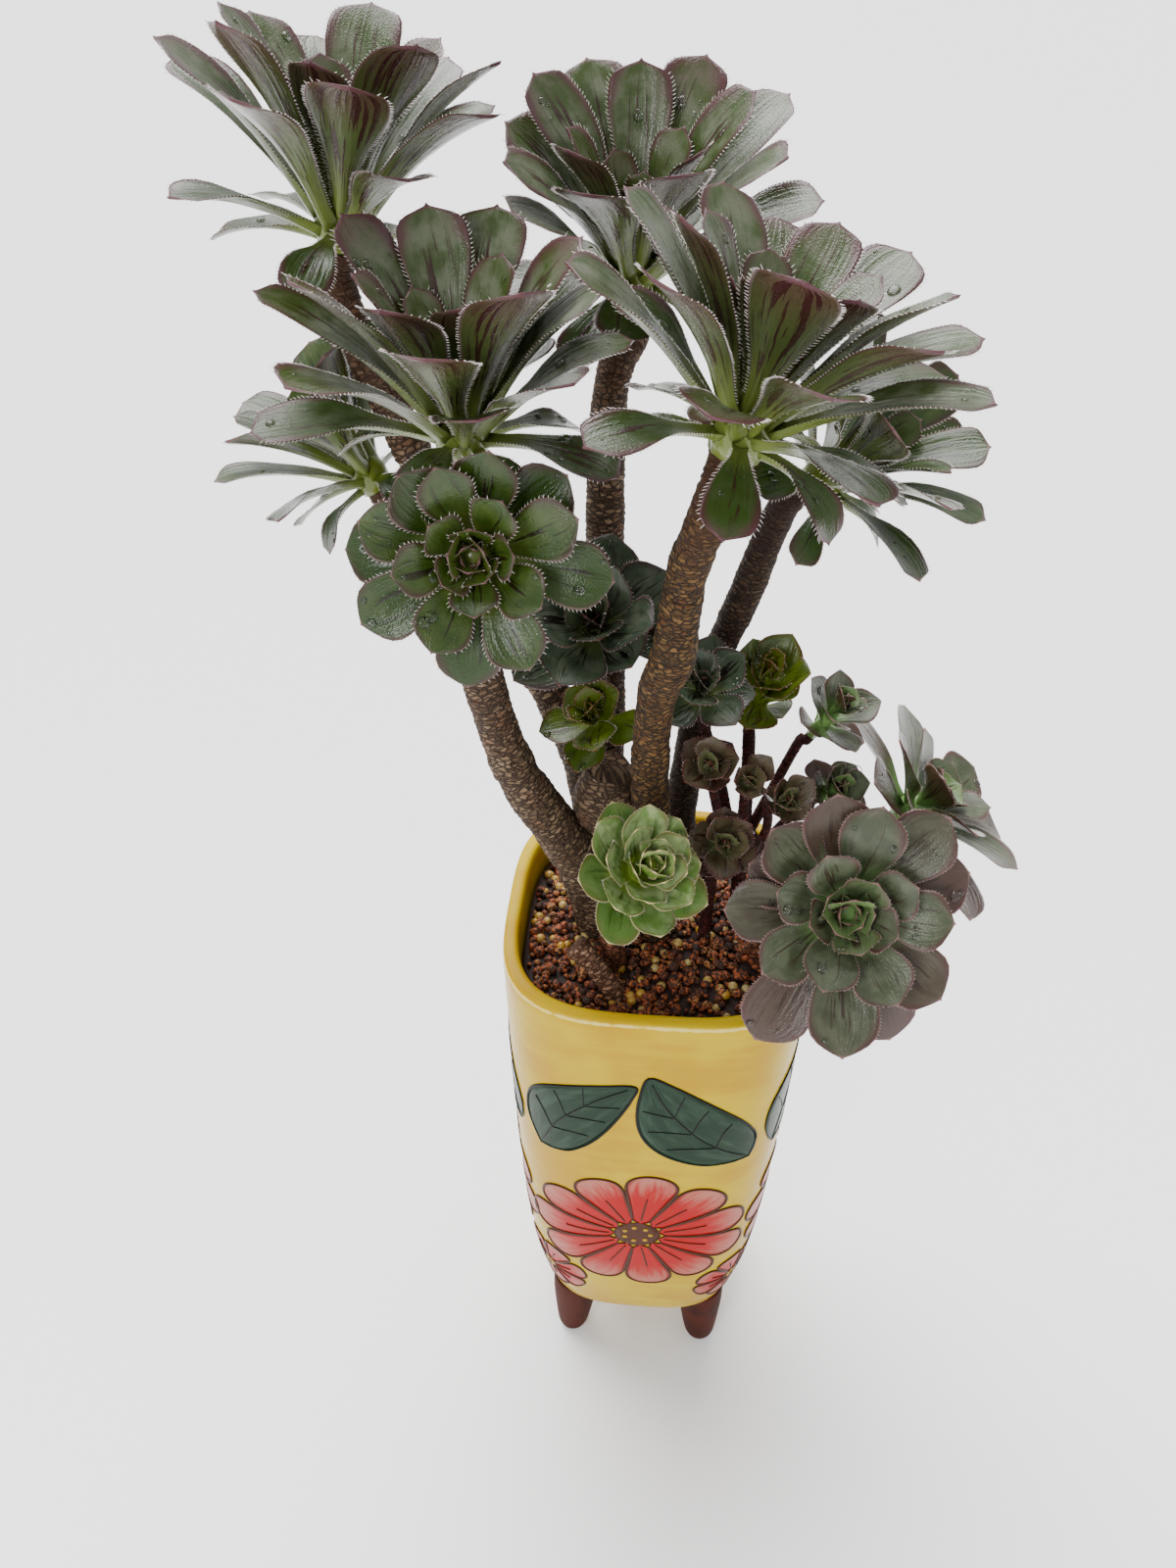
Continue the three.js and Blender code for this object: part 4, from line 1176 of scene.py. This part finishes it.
def leaf_cuticle(name, tint, middle):
    """Waxy skin of a succulent leaf: satin, with clouds, a red flush and fine streaks.
    middle: how green the youngest leaves are"""
    finish = Finish(name)
    add = finish.add
    along, across, face, age, chance = finish.held("along", "across", "face", "age", "chance")
    grain = add("vector", attribute_name="grain")
    edge = add("size", across)
    # clouds about 7 mm wide
    clouds = add("noise", grain, 0.14, 4)
    # streaks 1.4 mm wide and 20 mm long
    streaks = add("noise", add("stretch", grain, (0.7, 0.05, 1)), 1, 3)
    # the pale clouds are partly the leaf's own bloom and partly painted sheen, the grey-lilac of the
    # sky's reflection
    body = add("blend", add("step", clouds, 0.35, 0.7), tint.blade, tint.pale)
    # the lowest leaves stay in the shade and are a deeper green
    lowest = add("times", add("step", age, 0.6, 0.9), 0.85)
    body = add("blend", lowest, body, tint.low)
    body = add("blend", add("step", along, 0.5, 0.1), body, tint.root)
    # the flush keeps to the rim and is widest at the tip
    rim = add("power", edge, 4)
    reach = add("plus", add("times", rim, 0.42), add("times", along, 0.66))
    reach = add("plus", reach, add("times", clouds, 0.4))
    reach = add("plus", reach, add("times", chance, 0.16))
    flush = add("times", add("step", reach, 0.84, 1.14), 0.9)
    body = add("blend", flush, body, tint.flush)
    # the youngest leaves in the middle are greener
    young = add("times", add("step", age, 0.3, 0), middle)
    body = add("blend", young, body, tint.root)
    # streaks show on the middle half of the upper face
    inside = add("step", edge, 0.75, 0.1)
    window = add("times", add("step", along, 0.12, 0.35), add("step", along, 0.98, 0.75))
    lines = add("times", add("step", streaks, 0.55, 0.6), add("times", inside, window))
    body = add("blend", add("times", lines, 0.9), body, tint.streak)
    # the under face shows longer and broader streaks, and a redder tip
    under = add("blend", add("step", along, 0.6, 0.1), tint.back, tint.root)
    broad = add("times", add("step", streaks, 0.5, 0.57), add("step", edge, 0.98, 0.6))
    broad = add("times", broad, add("step", along, 0.15, 0.4))
    tip = add("times", add("step", along, 0.6, 1), 0.7)
    under = add("blend", tip, under, tint.flush)
    under = add("blend", add("times", broad, 0.85), under, tint.streak)
    body = add("blend", face, under, body)
    # a thin line runs round the whole edge
    line = add("times", add("step", edge, 0.94, 0.995), add("step", along, 0.1, 0.3))
    line = add("larger", line, add("step", along, 0.975, 0.998))
    body = add("blend", add("times", line, 0.85), body, tint.margin)
    # skin dimples of about 0.5 mm under the long veins
    dimples = add("noise", grain, 1.8, 2)
    height = add("plus", add("times", streaks, 0.7), add("times", dimples, 0.3))
    return finish.shade({
        "Base Color": body,
        "Roughness": add("range", clouds, CUTICLE_GLOSS - 0.06, CUTICLE_GLOSS + 0.14),
        "IOR": 1.42,
        "Specular IOR Level": 0.5,
        "Normal": add("bump", height, 0.6, 0.8 * MM),
    })


def leaf_hair(name):
    """Clear stiff hairs of the leaf's edge, pale where they catch the light"""
    finish = Finish(name)
    add = finish.add
    # stretches of about 3 mm are a little darker or paler
    spot = add("noise", add("object"), 300)
    body = add("blend", spot, linear("#D8CCC8"), linear("#DDD6D2"))
    return finish.shade({"Base Color": body, "Roughness": 0.5})


def stem_bark(name, ridge, crack):
    """Corky bark of a succulent stem: small flat scales with dark cracks, and leaf scars"""
    finish = Finish(name)
    add = finish.add
    relief, rise = finish.held("relief", "rise")
    grain = add("vector", attribute_name="grain")
    # blotches about 8 mm wide and fibres of 0.6 mm
    blotch = add("noise", grain, 0.12, 4)
    fibre = add("noise", grain, 1.6, 5)
    # scales about 3 mm wide and 1.5 mm high, bent by the fibres
    bent = add("bend", grain, add("three_noises", grain, 0.5, 2))
    flat = add("stretch", bent, (0.3, 0.3, 0.62))
    scales = add("step", add("cell_edge", flat, 1), 0.05, 0.16)
    own = add("cell_colour", flat, 1)
    height = add("times", scales, add("step", relief, -0.9, 0.1))
    dull = (0.35 * ridge[0] + 0.2 * crack[0], 0.32 * ridge[1], 0.3 * ridge[2])
    red = (0.75 * ridge[0], 0.42 * ridge[1], 0.35 * ridge[2])
    young = (0.22 * ridge[0], 0.13 * ridge[1], 0.1 * ridge[2])
    body = add("blend", add("step", own, 0.25, 0.8), dull, ridge)
    body = add("blend", add("times", add("step", blotch, 0.5, 0.7), 0.6), body, red)
    body = add("blend", height, crack, body)
    body = add("blend", add("times", add("step", fibre, 0.58, 0.4), 0.5), body, dull)
    # the end under a rosette has young dark skin
    body = add("blend", add("times", add("step", rise, 0.78, 0.98), 0.8), body, young)
    rough = add("plus", height, add("times", fibre, 0.5))
    return finish.shade({
        "Base Color": body,
        "Roughness": 0.78,
        "Specular IOR Level": 0.25,
        "Normal": add("bump", rough, 0.9, 0.8 * MM),
    })


def clay_granules(look):
    """Damp granules of fired clay and bark, each with its own colour"""
    finish = Finish("damp_clay_granules")
    add = finish.add
    chance, = finish.held("chance")
    # pores about 1 mm wide
    pores = add("noise", add("object"), 900, 4)
    # the bed holds no chance and so takes the dark: painted shade in the gaps between the granules
    body = add("blend", add("step", chance, 0, 0.4), look.dark, look.clay)
    body = add("blend", add("step", chance, 0.7, 1), body, look.light)
    body = add("blend", add("step", pores, 0.62, 0.42), body, look.dark)
    return finish.shade({
        "Base Color": body,
        "Roughness": 0.72,
        "Normal": add("bump", pores, 0.8, 0.6 * MM),
    })


def food_prills(look):
    """Resin-coated prills of plant food: glossy, honey to tan"""
    finish = Finish("coated_prills")
    chance, = finish.held("chance")
    body = finish.add("blend", chance, look.prill, linear("#A08E5C"))
    return finish.shade({"Base Color": body, "Roughness": 0.3})


def yellow_glaze(look):
    """Brushed yellow glaze on earthenware: glossy, a little uneven, knocked at the rim"""
    finish = Finish("yellow_glaze")
    add = finish.add
    where = add("object")
    # brush marks about 5 mm high and 55 mm long, and clouds of 45 mm
    brush = add("noise", add("stretch", where, (18, 18, 190)), 1, 4)
    cloud = add("noise", where, 22, 3)
    both = add("plus", add("times", brush, 0.25), add("times", cloud, 0.75))
    body = add("blend", add("step", both, 0.42, 0.6), look.glaze, look.glaze_pale)
    # painted highlight along the outer edge of the rim, broken into spots 2 to 4 mm long
    rim_highlight, = finish.held("rim_highlight")
    highlight_spots = add("times", rim_highlight, add("noise", where, 260, 3))
    body = add("blend", add("step", highlight_spots, 0.2, 0.4), body, look.glaze_rim_highlight)
    return finish.shade({
        "Base Color": body,
        "Roughness": add("range", both, 0.16, 0.34),
        "IOR": 1.5,
        "Specular IOR Level": GLAZE_SHINE,
        "Normal": add("bump", both, 0.25, MM),
    })


def bare_clay(look):
    """Unglazed earthenware of the feet: matte, finely sandy"""
    finish = Finish("bare_earthenware")
    add = finish.add
    where = add("object")
    # sand of about 1.4 mm, coarser than the real grit so that it shows, and clouds of 17 mm
    sand = add("noise", where, 700, 4)
    cloud = add("noise", where, 60, 3)
    dark = [0.55 * c for c in look.clay]
    body = add("blend", add("step", cloud, 0.4, 0.7), look.clay, dark)
    return finish.shade({
        "Base Color": body,
        "Roughness": 0.75,
        "Specular IOR Level": 0.2,
        "Normal": add("bump", sand, 0.4, 0.5 * MM),
    })


def petal_enamel(look):
    """Painted petal: red pigment washed out to pale pink at the tip, under clear glaze"""
    finish = Finish("petal_enamel")
    add = finish.add
    along, = finish.held("along")
    grain = add("vector", attribute_name="grain")
    # brush strokes 1.7 mm wide and 14 mm long
    wash = add("noise", add("stretch", grain, (0.6, 0.07, 1)), 1, 4)
    faded = add("plus", along, add("times", add("minus", wash, 0.5), 0.7))
    body = add("blend", add("step", faded, 0.5, 1.05), look.petal, look.petal_pale)
    return finish.shade({
        "Base Color": body, "Roughness": 0.28, "Specular IOR Level": GLAZE_SHINE})


def leaf_enamel(look):
    """Painted leaf: dark green pigment, brushed along its length, under clear glaze"""
    finish = Finish("leaf_enamel")
    add = finish.add
    grain = add("vector", attribute_name="grain")
    # brush strokes 2 mm wide and 10 mm long
    wash = add("noise", add("stretch", grain, (0.5, 0.1, 1)), 1, 4)
    pale = [min(1, 1.6 * c + 0.01) for c in look.leaf]
    body = add("blend", add("step", wash, 0.4, 0.75), look.leaf, pale)
    return finish.shade({
        "Base Color": body, "Roughness": 0.28, "Specular IOR Level": GLAZE_SHINE})


def slip_line(name, value):
    """Raised line of coloured slip: smooth, satin, with clouds of 6 mm"""
    finish = Finish(name)
    cloud = finish.add("noise", finish.add("object"), 160, 3)
    dark = [0.6 * c for c in value]
    body = finish.add("blend", cloud, value, dark)
    return finish.shade({
        "Base Color": body, "Roughness": 0.35, "Specular IOR Level": GLAZE_SHINE})


def clear_water():
    """Water drop: clear and smooth"""
    return Finish("water").shade({
        "Base Color": (1, 1, 1), "Roughness": 0.02, "IOR": 1.333, "Transmission Weight": 1})


def pale_floor(value):
    """Matte paper backdrop: it has no shine that could show the lights"""
    return Finish("pale_floor").shade({"Base Color": value, "Roughness": 0.9})


# Paint on the pot

PETAL, LEAF, PETAL_LINE, LEAF_LINE, DOT = range(5)
# How far painted shapes stand out from the glaze, and how deep their feet are in it
PETAL_OUT = 0.22
LEAF_OUT = 0.3
MIDDLE_OUT = 0.3
DOT_OUT = 0.5
PAINT_SUNK = 0.3
# A slip line: how far its middle stands out, half its height, and the points round it
LINE_OUT = 0.2
LINE_HEIGHT = 0.42
LINE_AROUND = 6
# Half-widths of the lines: round a petal and its crease, round a leaf, its midrib and its veins
PETAL_LINE_HALF = 0.75
CREASE_HALF = 0.45
LEAF_LINE_HALF = 0.7
MIDRIB_HALF = 0.5
VEIN_HALF = 0.35
# Blossom: chance in a petal's length, half a petal's share of its angle, and as shares of the
# blossom's size where petals begin, the middle's radius and the distance of the dots on it
PETAL_CHANCE = 0.03
PETAL_ANGLE = 0.96
PETALS_FROM = 0.2
MIDDLE_RADIUS = 0.21
DOTS_AT = 0.12
# How many dots there are on a blossom's middle, and their radius
DOTS = 7
DOT_RADIUS = 1.2


class Paint:
    """Petals, leaves and raised lines on the pot's outside"""

    def __init__(self):
        self.patch = Patch(("along", "grain"))

    def join(self, bm, index):
        """Joins a shape with its colour to the painting"""
        for f in bm.faces:
            f.material_index = index
        self.patch.join(bm)

    def shape(self, place_of, columns, rows, index, out):
        """A thin painted shape whose foot is in the glaze. place_of(u, v) gives (a, z), u across
        from -1 to 1 and v along from 0 to 1. Its width is nothing at both ends."""
        bm = self.patch.start()
        along = bm.verts.layers.float["along"]
        grain = bm.verts.layers.float_vector["grain"]
        across = [(2 * i / columns - 1, out) for i in range(columns + 1)]
        across += [(1, -PAINT_SUNK), (-1, -PAINT_SUNK)]
        ups = [(1 - math.cos(math.pi * j / rows)) / 2 for j in range(rows + 1)]
        rings = []
        for v in ups:
            rings.append([place(on_wall(*place_of(u, v), height)) for u, height in across])

        def values(i, j):
            return {along: ups[j], grain: (across[i][0] * 9, ups[j] * 50, rings[0][0].x * 900)}

        skin(bm, rings, values)
        self.join(bm, index)

    def line(self, points, half, index):
        """A raised line of slip through points (a, z)"""
        bm = self.patch.start()
        fine = curve_through(points, 5)
        last = len(fine) - 1
        rings = []
        for i, (a, z) in enumerate(fine):
            run = unit(fine[min(last, i + 1)] - fine[max(0, i - 1)])
            # it is thinner at its ends
            taper = half * min(1, 0.45 + 3 * min(i, last - i) / last)

            def at(phi):
                side = taper * math.cos(phi)
                out = LINE_OUT + LINE_HEIGHT * math.sin(phi)
                return on_wall(a - run[1] * side, z + run[0] * side, out)

            rings.append(ring(LINE_AROUND, at))
        skin(bm, capped(on_wall(*fine[0], LINE_OUT), rings, on_wall(*fine[-1], LINE_OUT)))
        self.join(bm, index)

    def petal(self, a, z, turn, inner, outer, share):
        """A petal round the point (a, z) with its outline and crease. share: half its angle"""
        def spot(u, v):
            r = lerp(inner, outer, v)
            # it widens at once from its foot and is rounded over its last third
            w = r * share * min(1, v / 0.06) * math.sqrt(max(0, 1 - (max(0, v - 0.66) / 0.34) ** 2))
            return (a + r * math.cos(turn) - w * u * math.sin(turn),
                    z + r * math.sin(turn) + w * u * math.cos(turn))
        self.shape(spot, 8, 16, PETAL, PETAL_OUT)
        ends = [(1 - math.cos(math.pi * v / 12)) / 2 for v in range(1, 13)]
        rim = [spot(-1, v) for v in ends] + [spot(1, v) for v in ends[-2::-1]]
        self.line(rim, PETAL_LINE_HALF, PETAL_LINE)
        self.line([spot(0.06, v) for v in (0.06, 0.3, 0.55)], CREASE_HALF, PETAL_LINE)

    def blossom(self, a, z, outer, petals, turn):
        """A round blossom seen from the front, with a ring of dots on its middle"""
        for i in range(petals):
            angle = turn + 2 * math.pi * i / petals
            length = outer * (1 + PETAL_CHANCE * wobble(i, petals, 1))
            half_angle = PETAL_ANGLE * math.pi / petals
            self.petal(a, z, angle, outer * PETALS_FROM, length, half_angle)
        self.disc(a, z, outer * MIDDLE_RADIUS, PETAL_LINE, MIDDLE_OUT)
        for i in range(DOTS):
            phi = 2 * math.pi * i / DOTS
            r = outer * DOTS_AT
            self.disc(a + r * math.cos(phi), z + r * math.sin(phi), DOT_RADIUS, DOT, DOT_OUT)

    def disc(self, a, z, radius, index, out):
        """A round dot"""
        def spot(u, v):
            w = math.sqrt(max(0, 1 - (2 * v - 1) ** 2))
            return a + radius * w * u, z + radius * (2 * v - 1)
        columns = 6 if radius > 3 else 3
        self.shape(spot, columns, 2 * columns, index, out)

    def leaf(self, a, z, turn, length, wide):
        """A pointed leaf with its outline, midrib and side veins"""
        def spot(u, v):
            w = wide * max(0, math.sin(math.pi * v ** 0.8)) ** 0.8
            bow = 0.1 * length * math.sin(math.pi * v)
            return (a + length * v * math.cos(turn) - (w * u + bow) * math.sin(turn),
                    z + length * v * math.sin(turn) + (w * u + bow) * math.cos(turn))
        self.shape(spot, 14, 18, LEAF, LEAF_OUT)
        rim = [spot(-1, v / 8) for v in range(9)] + [spot(1, v / 8) for v in range(7, -1, -1)]
        self.line(rim, LEAF_LINE_HALF, LEAF_LINE)
        self.line([spot(0, v) for v in (0.02, 0.35, 0.7, 0.95)], MIDRIB_HALF, LEAF_LINE)
        for v in (0.25, 0.45, 0.63):
            for side in (-1, 1):
                vein = [spot(0, v), spot(side * 0.45, v + 0.09), spot(side * 0.8, v + 0.14)]
                self.line(vein, VEIN_HALF, LEAF_LINE)


# Operators

def looks():
    return bpy.context.scene.aeonium


def facing(direction):
    """Turn of a lamp that shines in a direction"""
    return Vector(direction).to_track_quat("-Z", "Y").to_euler()


class AEONIUM_OT_stage(bpy.types.Operator):
    """Camera, lights and floor"""
    bl_idname = "aeonium.stage"
    bl_label = "Stage"

    def execute(self, context):
        look = looks().stage
        camera = linked("camera", bpy.data.cameras.new("camera"))
        camera.data.lens = look.lens
        camera.data.sensor_width = SENSOR
        camera.data.clip_start, camera.data.clip_end = CLIP
        camera.location = place(CAMERA_PLACE)
        camera.rotation_euler = (math.radians(90 - CAMERA_DOWN), 0, math.radians(CAMERA_LEFT))
        context.scene.camera = camera
        lamp = linked("key", bpy.data.lights.new("key", "SUN"))
        lamp.data.energy = look.key
        lamp.data.angle = look.spread
        lamp.rotation_euler = facing(KEY_DIRECTION)
        box = linked("softbox", bpy.data.lights.new("softbox", "AREA"))
        box.data.energy = look.front
        box.data.size = look.front_size
        box.location = SOFTBOX_PLACE
        box.rotation_euler = facing(SOFTBOX_DIRECTION)
        bm = bmesh.new()
        bmesh.ops.create_grid(bm, x_segments=1, y_segments=1, size=FLOOR_SIZE)
        mesh = bpy.data.meshes.new("floor")
        bm.to_mesh(mesh)
        bm.free()
        mesh.materials.append(pale_floor(look.floor))
        linked("floor", mesh)
        world = bpy.data.worlds.new("soft_sky")
        world.use_nodes = True
        back = world.node_tree.nodes["Background"]
        back.inputs["Color"].default_value = (1, 1, 1, 1)
        back.inputs["Strength"].default_value = look.sky
        context.scene.world = world
        return {"FINISHED"}


class AEONIUM_OT_pot(bpy.types.Operator):
    """Glazed pot with its feet and the painted blossoms and leaves"""
    bl_idname = "aeonium.pot"
    bl_label = "Pot"

    def execute(self, context):
        look = looks().pot
        bm = bmesh.new()
        # the rim's outer edge is marked for the painted highlight
        rim_highlight = bm.verts.layers.float.new("rim_highlight")
        profile = curve_through(POT_PROFILE, 3)
        shares = [max(0, 1 - math.dist(p, RIM_EDGE) / RIM_HIGHLIGHT_REACH) for p in profile]
        shares = [0, *shares, 0]
        low = (0, 0, POT_PROFILE[0][1])
        high = (0, 0, POT_PROFILE[-1][1])
        skin(bm, capped(low, level_rings(profile), high), lambda i, j: {rim_highlight: shares[j]})
        for sx in (-1, 1):
            for sy in (-1, 1):
                self.foot(bm, sx, sy)
        grown("pot_glazed", bm, [yellow_glaze(look), bare_clay(look)], "glazed_pot", ["pot"])
        self.paint(look)
        return {"FINISHED"}

    def foot(self, bm, sx, sy):
        """A foot in one corner, which leans outwards"""
        top = FOOT_PROFILE[-1][1]
        rings = []
        for r, z in curve_through(FOOT_PROFILE, 3):
            spread = lerp(FOOT_SPREAD_TIP, FOOT_SPREAD_TOP, z / top)
            rings.append(ring(FOOT_AROUND, lambda phi: (
                sx * spread + r * math.cos(phi), sy * spread + r * math.sin(phi), z)))
        low = (sx * FOOT_SPREAD_TIP, sy * FOOT_SPREAD_TIP, 0)
        high = (sx * FOOT_SPREAD_TOP, sy * FOOT_SPREAD_TOP, top)
        for face in skin(bm, capped(low, rings, high)):
            face.material_index = 1

    def paint(self, look):
        """A blossom on each face, and a pair of leaves and a small blossom on each corner"""
        paint = Paint()
        for i in range(4):
            middle = i * FACE
            corner = middle + FACE / 2
            paint.blossom(a=middle - 2, z=146, outer=52.5, petals=11, turn=0.3 + i)
            paint.leaf(a=corner - 8, z=212, turn=2.2, length=76, wide=20)
            paint.leaf(a=corner + 6, z=210, turn=0.95, length=70, wide=18)
            paint.blossom(a=corner + 1, z=88, outer=23, petals=7, turn=0.9 + i)
        materials = [petal_enamel(look), leaf_enamel(look), slip_line("brown_slip", look.line),
                     slip_line("dark_slip", look.leaf_line), slip_line("ochre_slip", look.glaze)]
        grown("pot_painting", paint.patch.finish(), materials, "glazed_pot")


class AEONIUM_OT_soil(bpy.types.Operator):
    """Granular soil with round prills of plant food"""
    bl_idname = "aeonium.soil"
    bl_label = "Soil"

    def execute(self, context):
        look = looks().soil
        dice = random.Random(SOIL_SEED)
        patch = Patch(("chance",))
        bm = patch.start()
        # the bed under the granules is painted the dark of the gaps, as their shade
        rings = level_rings(SOIL_WALL) + [wall_ring(half, bed_height) for half in BED_HALVES]
        skin(bm, capped((0, 0, SOIL_WALL[0][1]), rings, (0, 0, bed_height(0, 0))))
        patch.join(bm)
        for i in range(look.granules):
            self.grain(patch, dice, i, look.granules, 0)
        for i in range(look.prills):
            self.grain(patch, dice, i, look.prills, 1)
        grown("soil_granules", patch.finish(), [clay_granules(look), food_prills(look)],
              "granular_soil", ["soil"])
        return {"FINISHED"}

    def grain(self, patch, dice, i, count, index):
        """One granule (index 0) or prill (1) on the soil, round the next turn of a spiral"""
        angle = i * math.radians(GOLDEN_ANGLE) + dice.uniform(*GRAIN_SWING)
        x, y = pressed(GRAIN_SPREAD * math.sqrt((i + 0.5) / count), angle)
        if index:
            size = dice.uniform(*PRILL_SIZE)
        else:
            size = dice.uniform(*GRANULE_SIZE) * dice.uniform(*GRANULE_SHRINK)
        reach = max(abs(x), abs(y)) + size
        if reach > GRAIN_LIMIT:
            x, y = (c * (GRAIN_LIMIT - size) / reach for c in (x, y))
        z = soil_height(x, y) + dice.uniform(*GRAIN_LIFT)
        turn = Matrix.Rotation(dice.uniform(*GRAIN_TURN), 4, "X")
        turn = turn @ Matrix.Rotation(dice.uniform(*GRAIN_TURN), 4, "Z")
        bm = patch.start()
        made = bmesh.ops.create_icosphere(bm, subdivisions=2 if index else 1, radius=1)["verts"]
        if index:
            stretch = PRILL_STRETCH
        else:
            stretch = (1, dice.uniform(*GRANULE_WIDTH), dice.uniform(*GRANULE_HEIGHT))
        chance = bm.verts.layers.float["chance"]
        # what its colour is drawn from
        own = dice.random()
        for v in made:
            rough = 1 if index else dice.uniform(*GRANULE_ROUGH)
            v.co = Vector(c * s * rough * size * MM for c, s in zip(v.co, stretch))
            v[chance] = own
        bmesh.ops.transform(bm, matrix=Matrix.Translation(place((x, y, z))) @ turn, verts=made)
        for f in bm.faces:
            f.material_index = index
        patch.join(bm)


class AEONIUM_OT_stems(bpy.types.Operator):
    """Woody stems and thin stalks with their leaf scars"""
    bl_idname = "aeonium.stems"
    bl_label = "Stems"

    def execute(self, context):
        colours = looks().bark
        barks = {}
        for name, branches in STEMS.items():
            finish, pitch, width = BARKS[name]
            if finish not in barks:
                barks[finish] = stem_bark(
                    f"{finish}_bark", getattr(colours, finish), getattr(colours, f"{finish}_crack"))
            patch = Patch(("relief", "rise", "grain"))
            for number, branch in enumerate(branches):
                first_radius = branch[2][0][3]
                step, sides = THIN_MESH if first_radius < THIN_STALK else WOODY_MESH
                grow_branch(patch, branch, number, pitch, width, step, sides)
            slot = "thin_stalk" if finish == "red" else "bark"
            grown(f"{name}_bark", patch.finish(), [barks[finish]], slot, [name])
        return {"FINISHED"}


class AEONIUM_OT_rosettes(bpy.types.Operator):
    """Rosettes and offsets with their fringed leaves"""
    bl_idname = "aeonium.rosettes"
    bl_label = "Rosettes"

    def execute(self, context):
        look = looks()
        hair = leaf_hair("edge_hair")
        cuticles = {}
        for name, plans in all_leaves().items():
            h = ROSETTES[name]
            if h.tint not in cuticles:
                cuticles[h.tint] = leaf_cuticle(
                    f"{h.tint}_cuticle", getattr(look, h.tint), HABITS[h.tint].young)
            patch = Patch(("along", "across", "face", "age", "chance", "grain"))
            grow_shoot(patch, h)
            for plan in plans:
                grow_blade(patch, h, plan, look.leaf)
            slot = HABITS[h.tint].slot
            if name.startswith("offset") and slot == "dark_leaf":
                slot = "plum_leaf"
            grown(f"{name}_leaves", patch.finish(), [cuticles[h.tint], hair], slot, [name])
        return {"FINISHED"}


class AEONIUM_OT_drops(bpy.types.Operator):
    """Water drops on the upper faces of the leaves"""
    bl_idname = "aeonium.drops"
    bl_label = "Drops"

    def execute(self, context):
        look = looks().leaf
        dice = random.Random(DROPS_SEED)
        spots = [
            (ROSETTES[name], plan)
            for name, plans in all_leaves().items() for plan in plans if plan["size"] > DROP_LEAF]
        patch = Patch(())
        for _ in range(look.drops):
            h, plan = dice.choice(spots)
            s = dice.uniform(*DROP_ALONG)
            u = dice.uniform(*DROP_ACROSS)
            row = leaf_line(h, plan, [s])[0]
            upper = row[2]
            # a drop runs off a leaf that stands upright
            if upper[2] < DROP_SLOPE:
                continue
            foot = blade_point(h, plan, row, s, u, 1 - abs(u) ** 2, look)
            size = look.drop * lerp(DROP_LEAST, 1, dice.random() ** DROP_POWER)
            bm = patch.start()
            turn = Vector(upper).to_track_quat("Z", "Y").to_matrix().to_4x4()
            made = bmesh.ops.create_icosphere(bm, subdivisions=2, radius=size)["verts"]
            bmesh.ops.scale(bm, vec=(1, dice.uniform(*DROP_LENGTH), DROP_FLAT), verts=made)
            bmesh.ops.transform(bm, matrix=Matrix.Translation(place(foot)) @ turn, verts=made)
            patch.join(bm)
        grown("water_drops", patch.finish(), [clear_water()], "dark_leaf")
        return {"FINISHED"}


OPERATORS = (
    AEONIUM_OT_stage, AEONIUM_OT_pot, AEONIUM_OT_soil, AEONIUM_OT_stems, AEONIUM_OT_rosettes,
    AEONIUM_OT_drops,
)
GROUPS = {
    "leaf": LeafSize, **TINTS, "bark": BarkColours, "soil": SoilLook, "pot": PotLook,
    "stage": StageLook,
}


class AeoniumLooks(bpy.types.PropertyGroup):
    """All sizes and colours that a user would change"""
    __annotations__ = {name: PointerProperty(type=group) for name, group in GROUPS.items()}


class AEONIUM_PT_panel(bpy.types.Panel):
    """Lists the pieces and their settings"""
    bl_idname = "AEONIUM_PT_panel"
    bl_label = "Aeonium"
    bl_space_type = "VIEW_3D"
    bl_region_type = "UI"
    bl_category = "Aeonium"

    def draw(self, context):
        for operator in OPERATORS:
            self.layout.operator(operator.bl_idname)
        for name, group in GROUPS.items():
            box = self.layout.box()
            box.label(text=name.capitalize())
            for key in group.__annotations__:
                box.prop(getattr(context.scene.aeonium, name), key)


CLASSES = (*GROUPS.values(), AeoniumLooks, *OPERATORS, AEONIUM_PT_panel)


def register():
    for cls in CLASSES:
        bpy.utils.register_class(cls)
    bpy.types.Scene.aeonium = PointerProperty(type=AeoniumLooks)


def unregister():
    del bpy.types.Scene.aeonium
    for cls in reversed(CLASSES):
        bpy.utils.unregister_class(cls)


def main():
    register()
    bpy.ops.aeonium.stage()
    bpy.ops.aeonium.pot()
    bpy.ops.aeonium.soil()
    bpy.ops.aeonium.stems()
    bpy.ops.aeonium.rosettes()
    bpy.ops.aeonium.drops()
    bpy.context.view_layer.update()


if __name__ == "__main__":
    main()
